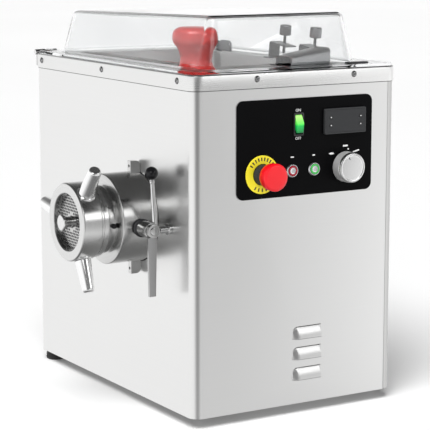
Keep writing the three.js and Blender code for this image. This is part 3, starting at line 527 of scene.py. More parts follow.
# Near-black for the steel walls of the plate's holes: painted shade, standing in for the shade inside the
# holes.
PAINTED_SHADE_BORE = plastic("bore_painted_shade", (0.012, 0.012, 0.012), 0.5, bump=0.2)
ALLOY = cast_metal("cast_alloy", (0.55, 0.56, 0.57), 0.45)
FINS = brushed_metal("fin_stock", (0.62, 0.60, 0.57), 0.4, (2500.0, 5.0, 5.0), bump=0.6)
ENAMEL = plastic("black_enamel_paint", (0.02, 0.02, 0.022), 0.28, 120.0, 0.1, coat=0.3)
BLACK = plastic("black_plastic_satin", (0.018, 0.018, 0.02), 0.38)
BALL_BLACK = plastic("ball_black", (0.006, 0.006, 0.007), 0.12, bump=0.01, specular=0.35)
PANEL_BLACK = plastic("panel_black", (0.0022, 0.0022, 0.0026), 0.36, 1400.0, 0.03, specular=0.05)
GREY = plastic("thermostat_grey", (0.036, 0.037, 0.039), 0.40, specular=0.25)
SMOKE = plastic("display_smoke", (0.030, 0.031, 0.033), 0.34, bump=0.01, specular=0.25)
RUBBER = plastic("rubber_black", (0.022, 0.022, 0.022), 0.7, 700.0, 0.25)
RED = plastic("pusher_red_plastic", (0.84, 0.05, 0.045), 0.32, 500.0, 0.03, coat=0.15, mottling=0.05)
ESTOP_RED = plastic("estop_red", (0.80, 0.004, 0.012), 0.36, 900.0, 0.02, coat=0.2, mottling=0.03)
YELLOW = plastic("legend_yellow", (0.90, 0.78, 0.035), 0.5, specular=0.3, mottling=0.03)
# The rocker's green carries a painted highlight at its top and painted shade at its bottom.
GREEN = rocker_with_painted_light("rocker_green")
LED_RED = glow("ring_red", (0.34, 0.006, 0.02), 0.10)
LED_GREEN = glow("ring_green", (0.05, 0.44, 0.08), 0.12)
MARK = plastic("mark_white", (0.82, 0.82, 0.82), 0.5)
INK = plastic("legend_ink", (0.03, 0.028, 0.02), 0.6)
CLEAR = clear_plastic("lid_clear")
CLEAR_EDGE = clear_plastic("lid_flange_clear", 1.05)

BODY_OF = {n: b for b, members in frame["record"]["behaviour"]["bodies"].items() for n in members}


def part(name, shape, mat, node, bevelled=0.0, smooth=35, replaces=True, segments=2, carved=()):
    """A piece that stands for a CAD node, with its modifiers and body."""
    obj = build(name, *shape, mat, smooth=smooth)
    if carved:
        carve(obj, carved, smooth)
    if bevelled:
        bevel(obj, bevelled, segments)
    return dress(obj, BODY_OF[node], [node] if replaces else ())


def extra(name, shape, mat, node, **finish):
    """One more piece of a CAD node that another piece stands for."""
    return part(name, shape, mat, node, replaces=False, **finish)


def second_material(obj, mat, chosen):
    """Gives the faces for which chosen(polygon) holds another material."""
    obj.data.materials.append(mat)
    for polygon in obj.data.polygons:
        if chosen(polygon):
            polygon.material_index = 1


# Camera, floor and light

NEAR_CORNER = V(SIDE, FRONT, FLOOR_Z)
CAMERA_REACH = Vector((2.127, -1.249, 0.722))
YAW, PITCH = radians(58.85), radians(9.52)

# Millimetres across the sensor, and the focal length in sensor widths.
SENSOR_WIDTH, FOCAL_WIDTHS = 36.0, 4.018605


def stand(name, data):
    """A camera or light, turned by its quaternion."""
    obj = new_object(name, data)
    obj.rotation_mode = "QUATERNION"
    return obj


camera = stand("camera", bpy.data.cameras.new("camera"))
camera.data.sensor_width = SENSOR_WIDTH
camera.data.lens = SENSOR_WIDTH * FOCAL_WIDTHS
camera.data.clip_start, camera.data.clip_end = 0.05, 60.0
camera.location = NEAR_CORNER + CAMERA_REACH
_back = Vector((sin(YAW) * cos(PITCH), -cos(YAW) * cos(PITCH), sin(PITCH)))
camera.rotation_quaternion = (-_back).to_track_quat("-Z", "Y")
bpy.context.scene.camera = camera
bpy.context.scene.view_settings.view_transform = "Standard"

floor_mat = material("floor_pale")
patches = floor_mat.noise(floor_mat.coords(), 0.4, 2.0)
pale = floor_mat.ramp(patches, [(0.3, (0.92, 0.92, 0.92)), (0.7, (0.94, 0.94, 0.94))])
floor_mat.drive(pale, "Base Color")
floor = new_object("floor", bpy.data.meshes.new("floor"))
FLOOR_REACH = 20
floor_corners = [(x * FLOOR_REACH, y * FLOOR_REACH, 0) for x, y in ((-1, -1), (1, -1), (1, 1), (-1, 1))]
floor.data.from_pydata(floor_corners, [], [(0, 1, 2, 3)])
floor.data.materials.append(floor_mat.set(Roughness=0.85, Specular_IOR_Level=0.1))
floor.visible_glossy = False

# Brightness of the studio by the sine of the height above the horizon.
SKY = [(-1.0, 0.16), (-0.82, 0.22), (-0.6, 0.62), (-0.42, 0.98), (-0.15, 1.06), (0.15, 1.06), (0.30, 0.58),
       (0.5, 0.18), (0.75, 0.07), (1.0, 0.07)]
# Two grey flags tone down the light from the right and from the near corner: a direction, then what the
# light is multiplied by outside the flag and in its middle, and the cosines where these hold.
FLAGS = (((0.80, 0.47, 0.37), (1.0, 0.44, 0.55, 0.97)), ((0.87, -0.49, 0.0), (1.0, 0.20, 0.80, 0.985)))

sky = Nodes(bpy.data.worlds.new("studio"), "Background")
bpy.context.scene.world = sky.owner
direction = sky.add("ShaderNodeTexCoord").outputs["Generated"]
height = sky.remap(sky.split(direction)["Z"], 0.0, 1.0, -1.0, 1.0)
light = sky.ramp(height, [((sine + 1) / 2, (g, g, g)) for sine, g in SKY])
for toward, limits in FLAGS:
    cosine = sky.add("ShaderNodeVectorMath", operation="DOT_PRODUCT")
    sky.link(direction, cosine.inputs[0])
    cosine.inputs[1].default_value = toward
    light = sky.math("MULTIPLY", light, sky.remap(cosine.outputs["Value"], *limits, kind="SMOOTHSTEP"))
sky.drive(light, "Color")
sky.set(Strength=1.0)


def softbox(name, location, target, size, radiance):
    data = bpy.data.lights.new(name, "AREA")
    data.shape = "RECTANGLE"
    data.size, data.size_y = size
    data.energy = radiance * pi * size[0] * size[1]
    obj = stand(name, data)
    obj.location = location
    obj.rotation_quaternion = (Vector(location) - Vector(target)).to_track_quat("Z", "Y")
    obj.visible_camera = False


def sun(name, toward, strength, angle):
    data = bpy.data.lights.new(name, "SUN")
    data.energy = strength
    data.angle = radians(angle)
    obj = stand(name, data)
    obj.rotation_quaternion = Vector(toward).to_track_quat("Z", "Y")
    obj.visible_glossy = False


sun("key", (0.36, -0.42, 0.83), 3.4, 40)
softbox("front_box", (2.2, -1.9, 1.75), (0, -0.2, 0.3), (1.5, 0.9), 2.0)
softbox("rear_box", (1.6, 1.85, 0.05), (0.2, 0.15, 0.1), (1.1, 1.4), 0.68)
softbox("side_box", (2.10, 1.10, 1.10), (0.09, -0.2, 0.3), (1.3, 0.75), 1.7)

# Casing

SHEET, CORNER = 2.0, 16.0
BACK_SEAM = HALF_D - CORNER
CUT_X, CUT_Y = (SIDE - 12, SIDE + 10), (HALF_D - 6, HALF_D + 3)


def bent_path(inset, rear):
    """The plan path of one bent sheet: the front with both sides, or the back with its two corners."""
    w = HALF_W - inset
    path = corner_points(CORNERS[:2] if rear else CORNERS[2:], w, HALF_D - inset, CORNER - inset, 12)
    return path if rear else [(-w, BACK_SEAM)] + path + [(w, BACK_SEAM)]


def bent_sheet(rear):
    outline = bent_path(0, rear) + bent_path(SHEET, rear)[::-1]
    return prism(outline, FLOOR_Z, RIM_UNDER - 0.3, "z")


def x_hole(centre, r, span=CUT_X, n=40):
    return lathe("x", (0, *centre), rod(r, *span), n, 1)


def x_window(centre, half_y, half_z):
    y, z = centre
    return block(*CUT_X, y - half_y, y + half_y, z - half_z, z + half_z)


LOUVRE_Y0, LOUVRE_Y1, LOUVRE_SHEET = -7.0, 45.0, 0.0011
LOUVRE_LEVELS = [FLOOR_Z + v for v in (47, 79, 111)]
louvre_slots = [block(SIDE - 5, SIDE + 5, LOUVRE_Y0 + 5, LOUVRE_Y1 - 3, z - 9.2, z + 5)
                for z in LOUVRE_LEVELS]
control_holes = [x_hole(ESTOP, 11.5), x_hole(STOP, 8.2), x_hole(START, 8.2), x_hole(KNOB, 5.0),
                 x_window(THERMOSTAT, 36, 15), x_window(ROCKER, 6.7, 15.2)]
head_hole = lathe("y", (HEAD_X, 0, HEAD_Z), rod(SLEEVE_R + 1, FRONT - 6, FRONT + 12), 128, 1)
part("casing_sheet", bent_sheet(False), SHEET_STEEL, "body_wrap", bevelled=0.5,
     carved=[head_hole] + louvre_slots + control_holes, smooth=30)

VENT_X0, VENT_X1, VENT_R = -221, -69, 4
VENT_ROWS, VENT_PITCH, VENT_LOW = 9, 18, FLOOR_Z + 54
INLET = (190, 71)


def vent(z):
    """A slot with round ends."""
    outline = [(x + VENT_R * cos(a), z + VENT_R * sin(a)) for x, start in ((VENT_X0, 90), (VENT_X1, -90))
               for a in [radians(start + 18 * k) for k in range(11)]]
    return prism(outline, *CUT_Y, "y")


def inlet_block(half_w, half_h, y0, y1, dx=0, dz=0):
    x, z = INLET[0] + dx, INLET[1] + dz
    return block(x - half_w, x + half_w, y0, y1, z - half_h, z + half_h)


vents = [vent(VENT_LOW + row * VENT_PITCH) for row in range(VENT_ROWS)]
part("back_sheet", bent_sheet(True), REAR_STEEL, "rear_cover", bevelled=0.5,
     carved=vents + [inlet_block(14.3, 10.3, *CUT_Y)], smooth=30)


def louvre(level):
    """A pressed hood: flush along the top, open and proud along the bottom, with sloped ends."""
    length = LOUVRE_Y1 - LOUVRE_Y0
    top, height, proud, corner = level + 9.5, 19.0, 6.0, 9.0
    left_slope, right_slope = 11.0, 2.5
    columns, rows = 44, 14
    verts, faces = [], []
    for i in range(columns + 1):
        dy = length * i / columns
        drop = corner - sqrt(max(0.0, corner ** 2 - max(0.0, corner - dy) ** 2))
        left = sin(min(1.0, dy / left_slope) * pi / 2)
        right = sin(min(1.0, (length - dy) / right_slope) * pi / 2)
        for j in range(rows + 1):
            v = j / rows
            rise = proud * left * right * (1 - (1 - v) ** 1.7)
            verts.append((SIDE + 0.05 + rise, LOUVRE_Y0 + dy, top - drop - (height - drop) * v))
    for i in range(columns):
        for j in range(rows):
            a = i * (rows + 1) + j
            faces.append((a, a + rows + 1, a + rows + 2, a + 1))
    return verts, faces


for i, level in enumerate(LOUVRE_LEVELS):
    hood = build(f"louvre_{i + 1}", *louvre(level), SHEET_STEEL, smooth=50)
    thick = hood.modifiers.new("sheet", "SOLIDIFY")
    thick.thickness = LOUVRE_SHEET
    thick.offset = -1.0
    dress(hood, "casing", ())

# Rim, tray and throat

SKIRT_W, SKIRT_D, SKIRT_R = 2 * HALF_W + 4, 2 * HALF_D + 4, CORNER + 2
SKIRT_LOW = RIM_TOP - 23
RIM_BOX = (-SKIRT_W / 2, SKIRT_W / 2, -SKIRT_D / 2, SKIRT_D / 2)
TRAY_R = 32.0


def pan_rings(box, radius, levels):
    return [pan_ring(box, inset, radius, z) for inset, z in levels]


rim_rings = pan_rings(RIM_BOX, SKIRT_R, (
    (0.0, SKIRT_LOW), (0.0, RIM_TOP - 2.4), (0.25, RIM_TOP - 1.3), (0.85, RIM_TOP - 0.5), (1.9, RIM_TOP),
    (3.0, RIM_TOP)))
rim_rings += pan_rings(TRAY_BOX, TRAY_R, (
    (-2.0, RIM_TOP), (-0.9, RIM_TOP - 0.1), (-0.2, RIM_TOP - 0.6), (0.0, RIM_UNDER)))
rim_rings += pan_rings(RIM_BOX, SKIRT_R, ((1.7, RIM_UNDER), (1.7, SKIRT_LOW)))
part("rim", sweep_rings(rim_rings, closed=True), RIM_STEEL, "top_rim", smooth=40)

# A dark rubber line under the skirt: partly its gasket, partly painted shadow under the skirt's lower edge.
seam_rings = pan_rings(RIM_BOX, SKIRT_R, [(inset, SKIRT_LOW - drop) for inset, drop in
                                          ((1.5, 0.1), (1.5, 1.1), (1.95, 1.1), (1.95, 0.1))])
seam = build("rim_gasket_and_painted_shadow", *sweep_rings(seam_rings, closed=True), RUBBER, smooth=30)
dress(seam, "casing", ())


def rim_screw(name, x, y, z, outward):
    """A pan head with a cross recess, standing off the skirt."""
    head = [(0, 1.9), (2.4, 1.8), (4.2, 1.2), (5.0, 0.0), (5.0, -0.3), (0, -0.3)]
    turn = Vector((0, 0, 1)).rotation_difference(Vector(outward)).to_matrix().to_4x4()
    place = Matrix.Translation((x, y, z)) @ turn
    obj = build(name, *turned_verts(lathe("z", (0, 0, 0), head, 32, 3), place), SCREW_STEEL, smooth=40)
    for angle in (35, 125):
        cross = place @ Matrix.Rotation(radians(angle), 4, "Z")
        carve(obj, [turned_verts(block(-3.0, 3.0, -0.6, 0.6, 0.5, 3.0), cross)], 40)
    dress(obj, "casing", ())


edge_x, edge_y = HALF_W + 2.0, HALF_D + 2.0
for i, x in enumerate((-234.0, -18.0, 219.0)):
    rim_screw(f"rim_screw_front_{i + 1}", x, -edge_y, 515.5, (0, -1, 0))
    rim_screw(f"rim_screw_back_{i + 1}", x, edge_y - 1.0, 515.5, (0, 1, 0))
for i, y in enumerate((-73.5, 100.0)):
    rim_screw(f"rim_screw_right_{i + 1}", edge_x, y, 516.5, (1, 0, 0))
    rim_screw(f"rim_screw_left_{i + 1}", -edge_x, y, 516.5, (-1, 0, 0))

FLANGE, DRAFT, BEND, TRAY_WALL = 7.0, 2.0, 3.5, 1.5
TRAY_EDGE = (TRAY_BOX[0] - FLANGE, TRAY_BOX[1] + FLANGE, TRAY_BOX[2] - FLANGE, TRAY_BOX[3] + FLANGE)
TRAY_EDGE_R = TRAY_R + FLANGE
TRAY_TOP = RIM_UNDER - 0.3


def bend_rings(inset_wall, inset_floor, z_wall, z_floor, steps=5):
    """A quarter bend from the tray's wall to its floor."""
    levels = []
    for k in range(steps + 1):
        a = pi / 2 * k / steps
        levels.append((inset_wall + (inset_floor - inset_wall) * (1 - cos(a)),
                       z_wall + (z_floor - z_wall) * sin(a)))
    return pan_rings(TRAY_EDGE, TRAY_EDGE_R, levels)


wall_foot = FLANGE + DRAFT
tray_rings = bend_rings(wall_foot - TRAY_WALL, wall_foot + BEND, TRAY_FLOOR + BEND, TRAY_FLOOR)[::-1]
tray_rings += pan_rings(TRAY_EDGE, TRAY_EDGE_R, (
    (FLANGE - TRAY_WALL, TRAY_TOP - TRAY_WALL), (0, TRAY_TOP - TRAY_WALL), (0, TRAY_TOP),
    (FLANGE - 1, TRAY_TOP), (FLANGE, TRAY_TOP - 1)))
tray_rings += bend_rings(wall_foot, wall_foot + BEND, TRAY_FLOOR + BEND + TRAY_WALL, TRAY_FLOOR + TRAY_WALL)
THROAT = (HEAD_X, THROAT_Y, 0)
throat_hole = lathe("z", THROAT, rod(THROAT_BORE + 4.2, TRAY_FLOOR - 6, TRAY_FLOOR + 20), 96, 1)
part("tray", sweep_rings(tray_rings), TRAY_STEEL, "meat_tray", carved=[throat_hole], smooth=35)

seat = TRAY_FLOOR + 1.8
throat_low = HEAD_Z + SLEEVE_R + 3.3
part("throat", lathe("z", THROAT, [
    (THROAT_BORE, throat_low), (THROAT_BORE + 3.5, throat_low), (THROAT_BORE + 3.5, seat),
    (THROAT_BORE + 7, seat, 0.5), (THROAT_BORE + 7, seat + 1.5, 0.5), (THROAT_BORE, seat + 1.5, 0.8),
    (THROAT_BORE, throat_low)], 96), POLISHED, "feed_throat")

# Feet

foot_profile = [(0, 0.0), (9.5, 0.0), (10, 0.8, 0.3), (11, 0.8, 0.3), (11.5, 0.0), (14.5, 0.0, 0.8),
                (16.3, 2.2, 1.5), (16.5, 5, 1.0), (15.9, 6.0, 0.5), (15.9, 6.8, 0.5), (16.3, 7.6, 0.5),
                (15.2, 15.7, 0.8), (0, 15.7)]
for name, x, y in (("front_left", -242, -161), ("rear_left", -242, 161), ("front_right", 190, -109),
                   ("rear_right", 190, 161)):
    part(f"rubber_foot_{name}", lathe("z", (x, y, 0), foot_profile, 64), RUBBER, f"foot_{name}")

# Power inlet

inlet_face = rect_outline(48, 28, 4, 6, *INLET)
socket = [(INLET[0] + x, INLET[1] + z)
          for x, z in ((-12, -8), (12, -8), (12, 4), (8, 8), (-8, 8), (-12, 4))]
part("inlet_plate", prism(inlet_face, HALF_D + 0.3, HALF_D + 3, "y"), BLACK, "power_inlet", bevelled=0.6,
     carved=[prism(socket, HALF_D - 2, HALF_D + 6, "y")])
extra("inlet_well", inlet_block(14, 10, HALF_D - 24, HALF_D + 1), BLACK, "power_inlet", bevelled=0.5,
      carved=[prism(socket, HALF_D - 18, HALF_D + 6, "y")])
for i, (dx, dz) in enumerate(((-7, -3), (0, 3), (7, -3))):
    extra(f"inlet_pin_{i + 1}", inlet_block(1, 2.2, HALF_D - 19, HALF_D - 1, dx, dz), POLISHED,
          "power_inlet", bevelled=0.4)

# Control panel

panel_outline = rect_outline(PANEL_W, PANEL_H, 11, 12, *PANEL_CENTRE)
part("panel_plate", prism(panel_outline, SIDE + 0.3, PANEL_FACE, "x"), PANEL_BLACK, "control_panel",
     bevelled=0.5, carved=control_holes, smooth=30)


def on_panel(at, profile, segments=96, steps=4, ribs=None):
    """Revolves a profile about an axis along X through (y, z); its stations count from the panel's face."""
    return lathe("x", (0, *at), shifted(profile, PANEL_FACE), segments, steps, ribs)


def panel_slab(outline, low, high, holes=()):
    return prism(outline, PANEL_FACE + low, PANEL_FACE + high, "x", holes)


def mark(name, shape, mat=MARK, body="casing"):
    obj = build(name, *shape, mat, smooth=40)
    dress(obj, body, ())


def decal(outline):
    return panel_slab(outline, 0.01, 0.12)


LETTER_SIZE, LETTER_DEPTH, LETTER_LIFT = 0.006, 0.00006, 0.07


def lettering(name, text, y, z):
    """Raised generic words on the panel."""
    curve = bpy.data.curves.new(name, "FONT")
    curve.body = text
    curve.size = LETTER_SIZE
    curve.align_x, curve.align_y = "CENTER", "CENTER"
    curve.extrude = LETTER_DEPTH
    curve.resolution_u = 3
    obj = new_object(name + "_text", curve)
    turn = Matrix(((0, 0, 1, 0), (1, 0, 0, 0), (0, 1, 0, 0), (0, 0, 0, 1)))
    obj.matrix_world = Matrix.Translation(V(PANEL_FACE + LETTER_LIFT, y, z)) @ turn
    bpy.context.view_layer.update()
    mesh = bpy.data.meshes.new_from_object(obj.evaluated_get(bpy.context.evaluated_depsgraph_get()))
    mesh.transform(obj.matrix_world)
    bpy.data.objects.remove(obj)
    mesh.materials.clear()
    return finish_mesh(name, mesh, MARK, "casing", (), 0)


lettering("rocker_mark_on", "ON", ROCKER[0] - 0.6, ROCKER[1] + 20.8)
lettering("rocker_mark_off", "OFF", ROCKER[0] - 0.3, ROCKER[1] - 21.2)
mark("stop_mark", decal(rect_outline(6.0, 1.8, 0.8, 4, STOP[0] + 0.4, STOP[1] + 20.4)))
mark("start_mark", decal(rect_outline(4.6, 2.0, 0.9, 4, START[0] - 0.4, START[1] + 21)))
mark("knob_mark_left", decal([(54.5, 398.0), (58.5, 396.3), (62.5, 396.7), (65.0, 398.0), (62.5, 399.4),
                              (58.5, 399.7)]))
mark("knob_mark_top", decal(rect_outline(9.5, 2.6, 1.2, 4, 85.2, 408.4)))
mark("knob_mark_dot", decal(circle(1.4, 90.6, 403.0, 20)))
mark("knob_mark_right", decal([(99.0, 397.4), (104.0, 397.8), (111.5, 399.6), (110.0, 401.4),
                               (103.5, 399.9), (99.0, 398.6)]))

# Thermostat

ty, tz = THERMOSTAT


def thermostat_slab(inset, radius, steps, low, high):
    outline = rect_outline(THERMOSTAT_W - inset, THERMOSTAT_H - inset, radius, steps, ty, tz)
    return panel_slab(outline, low, high)


key_points = [(ty + sy * 27.2, tz + dz) for sy in (-1, 1) for dz in (6, -6)]
pockets = [x_hole(k, 2.6, (PANEL_FACE + 2, PANEL_FACE + 9), 24) for k in key_points]
part("thermostat_bezel", thermostat_slab(0, 2.0, 5, 0.3, 5), GREY, "thermostat_body", bevelled=0.5,
     carved=[thermostat_slab(4, 1.5, 4, 4.5, 9)] + pockets, segments=3)
extra("thermostat_case", block(PANEL_FACE - 55, PANEL_FACE + 0.28, ty - 35.5, ty + 35.5, tz - 14.5,
                               tz + 14.5),
      GREY, "thermostat_body", bevelled=0.8)
extra("thermostat_window", thermostat_slab(4.6, 1.2, 4, 4.52, 4.85), SMOKE, "thermostat_body", bevelled=0.2,
      carved=pockets)
for i, key in enumerate(key_points):
    node = f"thermostat_key_{i + 1}"
    part(f"thermostat_button_{i + 1}", on_panel(key, [
        (0, 3), (2.2, 3), (2.2, 5.6, 0.4), (1.5, 5.95, 0.4), (0, 5.7)], 32), GREY, node)
    mark(f"thermostat_mark_{i + 1}", on_panel(key, [(0, 5.62), (0.9, 5.66), (0.9, 5.9), (0, 5.9)], 16, 1),
         body=node)

# Rocker switch

rocker_tilt = placed((PANEL_FACE - 2, *ROCKER), "Y", -10)
rocker_profile = [(-4, -6), (2, -10.5), (3, -13.8), (4.5, -13.8), (6.6, -6.5), (8.8, -0.6), (8.8, 0.6),
                  (6.6, 6.5), (4.5, 13.8), (3, 13.8), (2, 10.5), (-4, 6)]
rocker_shape = turned_verts(prism(rocker_profile, -6, 6, "y"), rocker_tilt)
part("rocker", rocker_shape, GREEN, "rocker_switch", bevelled=0.7, segments=3, smooth=30)
frame_outer = rect_outline(17.6, 34.6, 2.2, 5, *ROCKER)
frame_inner = rect_outline(13.2, 30.2, 0.8, 3, *ROCKER)
extra("rocker_frame", panel_slab(frame_outer, 0.05, 1.6, [frame_inner]), BLACK, "control_panel",
      bevelled=0.35)

# Emergency stop

ring_profile = [(16, 0.3), (28.6, 0.3), (28.6, 1.5, 0.5), (16, 1.5, 0.3), (16, 0.3)]
part("estop_ring", on_panel(ESTOP, ring_profile, 128), YELLOW, "estop_legend")
tick_angles = [*range(28, 146, 13), 238, 254, 270, 286]
for i, a in enumerate(tick_angles):
    c, s = cos(radians(a - 90)), sin(radians(a - 90))
    tick = [(ESTOP[0] + x * c - y * s, ESTOP[1] + x * s + y * c) for x, y in
            ((-0.9, 20.4), (0.9, 20.4), (1.2, 25.8), (-1.2, 25.8))]
    mark(f"estop_tick_{i + 1}", panel_slab(tick, 1.51, 1.58), INK)
collar = [(9, 1.6)]
for k in range(5):
    s = 1.6 + 2.1 * k
    collar += [(15.4, s + 0.1, 0.4), (15.4, s + 1.3, 0.4), (14.4, s + 1.7, 0.2)]
collar += [(14.2, 12.6, 0.5), (9, 12.6), (9, 1.6)]
extra("estop_collar", on_panel(ESTOP, collar, 72, 3), GREY, "estop_legend")
mushroom = part("mushroom", on_panel(ESTOP, [
    (0, -12), (8, -12), (8, 18, 1), (15, 19, 1.5), (19.4, 23, 2), (20.4, 28, 2), (20.6, 38.6, 2.6),
    (17.4, 40.4, 3), (0, 41)], 128, 6), ESTOP_RED, "estop_mushroom", smooth=50)
mushroom.visible_glossy = False
stem_end = V(PANEL_FACE + 18.2, 0, 0).x
second_material(mushroom, GREY, lambda polygon: polygon.center.x < stem_end)

# Push buttons with lit rings

for name, at, led in (("stop", STOP, LED_RED), ("start", START, LED_GREEN)):
    part(f"{name}_cap", on_panel(at, [
        (0, -10), (7.6, -10), (7.6, 2.4), (5.0, 2.6, 0.3), (5.0, 3.6, 0.5), (3.4, 3.2, 0.4), (0, 3.1)], 64),
        BUTTON_STEEL, f"{name}_button")
    extra(f"{name}_lit_ring", on_panel(at, [(5.2, 2.65), (7.5, 2.65), (7.5, 3.9, 0.3), (5.2, 3.9, 0.3),
                                            (5.2, 2.65)], 64), led, f"{name}_button")
    extra(f"{name}_bezel", on_panel(at, [(8.2, 0.02), (10.6, 0.02), (10.6, 1.2, 0.5), (9.2, 3.0, 0.6),
                                         (8.2, 3.0, 0.3), (8.2, 0.02)], 72), BUTTON_STEEL, "control_panel")

# Selector knob: knurled side, bright rim, plain turned face

KNURLS, KNURL_DEPTH = 72, 0.28
KNURL_LOW, KNURL_HIGH = PANEL_FACE + 2.2, PANEL_FACE + 18.2


def knurl(r, s, a):
    if KNURL_LOW < s < KNURL_HIGH and r > 20:
        return r - KNURL_DEPTH * (0.5 - 0.5 * cos(KNURLS * a))
    return r


knob_profile = [(0, -12), (4.2, -12), (4.2, 0.8), (22.6, 0.8, 0.5), (22.8, 2.0), (23.2, 2.4)]
knob_profile += [(23.2, 2.4 + k * 3.8) for k in range(1, 5)]
knob_profile += [(22.5, 18.4), (22.3, 19.2), (23.1, 19.8, 0.3), (22.6, 21.6, 0.6), (20.6, 22.5, 0.6),
                 (18.8, 21.7, 0.3), (18.0, 21.9, 0.3), (0, 21.8)]
knob_turned = part("knob", on_panel(KNOB, knob_profile, 288, 3, knurl), KNOB_STEEL, "selector_knob",
                   smooth=25)
side_low, side_high = V(KNURL_LOW, 0, 0).x, V(PANEL_FACE + 18.0, 0, 0).x
second_material(knob_turned, KNURL_STEEL, lambda polygon: side_low < polygon.center.x < side_high)
line = [(KNOB[0] + y, KNOB[1] + z) for y, z in ((-0.6, 13.0), (0.6, 13.0), (0.6, 17.5), (-0.6, 17.5))]
pointer_shape = turned_verts(panel_slab(line, 21.7, 22.1), about((0, *KNOB), "X", 22))
pointer = build("knob_pointer", *pointer_shape, BLACK, smooth=30)
dress(pointer, "selector_knob", ())

# Grinding head

H = (HEAD_X, 0, HEAD_Z)
MOUTH, SHOULDER = -290.0, NUT_BACK + 13
barrel_profile = [
    (50, MOUTH), (54.2, MOUTH, 0.6), (54.2, NUT_BACK + 0.3), (51.2, NUT_BACK + 1.0, 0.4),
    (51.2, SHOULDER - 1.0, 0.6), (56.2, SHOULDER, 0.8), (SLEEVE_R, SHOULDER + 3, 1.6),
    (SLEEVE_R, BARREL_REAR, 0.6), (16, BARREL_REAR), (16, BARREL_REAR - 10), (44, BARREL_REAR - 10),
    (44, -269.3), (50, -270.3), (50, MOUTH)]
port = lathe("z", THROAT, rod(THROAT_BORE, HEAD_Z, HEAD_Z + 90), 96, 1)
part("barrel", lathe("y", H, barrel_profile, 160), HEAD_STEEL, "grinding_barrel", carved=[port], smooth=30)
boss_top = SLEEVE_R + 3
extra("feed_boss", lathe("z", THROAT, shifted([
    (THROAT_BORE + 0.2, 62), (THROAT_BORE + 9, 50), (THROAT_BORE + 9, boss_top, 0.8),
    (THROAT_BORE + 0.2, boss_top, 0.8), (THROAT_BORE + 0.2, 62)], HEAD_Z), 96), HEAD_STEEL,
    "grinding_barrel")

LUG_X, LUG_HALF, LUG_ROUND = HEAD_X + 9, 5, 8.0
LUG_FRONT, LUG_BACK = FRONT - 17.5, FRONT - 0.3
for i, side in enumerate((1, -1)):
    low, high = HEAD_Z + side * (SLEEVE_R - 3), HEAD_Z + side * (SLEEVE_R + 18)
    arc = [(LUG_BACK - LUG_ROUND + LUG_ROUND * sin(a),
            high - side * (LUG_ROUND - LUG_ROUND * cos(a)))
           for a in [radians(9 * k) for k in range(11)]]
    outline = [(LUG_FRONT, low), (LUG_FRONT, high)] + arc + [(LUG_BACK, low)]
    hole = lathe("y", (LUG_X, 0, HEAD_Z + side * (SLEEVE_R + 10)), rod(2.2, LUG_FRONT - 1, LUG_BACK + 1),
                 24, 1)
    extra(f"barrel_lug_{i + 1}", prism(outline, LUG_X - LUG_HALF, LUG_X + LUG_HALF, "x"), HEAD_STEEL,
          "grinding_barrel", bevelled=0.7, carved=[hole], segments=3)
extra("locating_pin", lathe("x", (HEAD_X, NUT_BACK + 8, HEAD_Z - 3), [
    (0, 50.5), (3.8, 50.5), (4.0, 53.8, 1.5), (3.0, 56.4, 1.6), (0, 57)], 40), BALL_BLACK,
    "grinding_barrel")

nut_profile = shifted([
    (43.5, 1.2), (44.6, 0, 0.5), (57.6, 0, 0.6), (NUT_R, 1.9, 0.8), (NUT_R, 31, 0.7), (57.2, 32.2, 0.4),
    (55.5, 33.2, 0.4), (55.5, 36, 0.3), (56.6, 36.6, 0.3)], NUT_FRONT)
nut_profile += [(56.6, NUT_BACK - 1, 0.5), (55.6, NUT_BACK, 0.3), (54.5, NUT_BACK), (54.5, -291),
                (50, -292.3), (43.5, -292.3), nut_profile[0]]
part("nut", lathe("y", H, nut_profile, 160), NUT_STEEL, "ring_nut", smooth=30)
HANDLE_Y, HANDLE_START, HANDLE_TIP = NUT_FRONT + 16, NUT_R - 3.0, NUT_R + 50
grip = lathe("x", (0, 0, 0), [
    (0, HANDLE_START), (12.5, HANDLE_START), (12.3, HANDLE_START + 4), (9.6, HANDLE_TIP - 3.2, 1.6),
    (7.4, HANDLE_TIP, 2.2), (0, HANDLE_TIP)], 64)
bead = lathe("x", (0, 0, 0), shifted([
    (12.2, 0.5), (14.6, 0.8, 0.5), (14.4, 2.7, 0.8), (12.6, 4.4, 0.8), (12.2, 4.4), (12.2, 0.5)],
    HANDLE_START), 64)
for i, angle in enumerate((52, 172, 292)):
    spin = placed((HEAD_X, HANDLE_Y, HEAD_Z), "Y", -angle)
    extra(f"nut_handle_{i + 1}", turned_verts(grip, spin), HANDLE_STEEL, "ring_nut", smooth=30)
    extra(f"nut_handle_bead_{i + 1}", turned_verts(bead, spin), HANDLE_STEEL, "ring_nut", smooth=40)

# Perforated plate

PLATE_R, PLATE_FRONT, PLATE_BACK = 49.7, -292.0, -283.6
HOLE_R, HOLE_PITCH, HOLES_FROM, HOLES_TO = 1.85, 5.0, 14.0, 42.2
row_pitch = HOLE_PITCH * sqrt(3) / 2
rows = int(44 / row_pitch) + 1
loops = [circle(9.5, HEAD_X, HEAD_Z, 40)]
for row in range(-rows, rows + 1):
    for col in range(-10, 11):
        x, z = (col + (abs(row) % 2) / 2) * HOLE_PITCH, row * row_pitch
        if HOLES_FROM < hypot(x, z) < HOLES_TO:
            loops.append(circle(HOLE_R, HEAD_X + x, HEAD_Z + z, 12))
plate = part("plate", prism(circle(PLATE_R, HEAD_X, HEAD_Z, 120), PLATE_FRONT, PLATE_BACK, "y", loops),
             PLATE_STEEL, "perforated_plate", smooth=30)


def is_bore(polygon):
    reach = polygon.center - head_centre
    return abs(polygon.normal.y) < 0.5 and 0.011 < hypot(reach.x, reach.z) < 0.046


# The walls of the holes get the near-black material: painted shade inside the holes.
second_material(plate, PAINTED_SHADE_BORE, is_bore)

# Stud through the plate

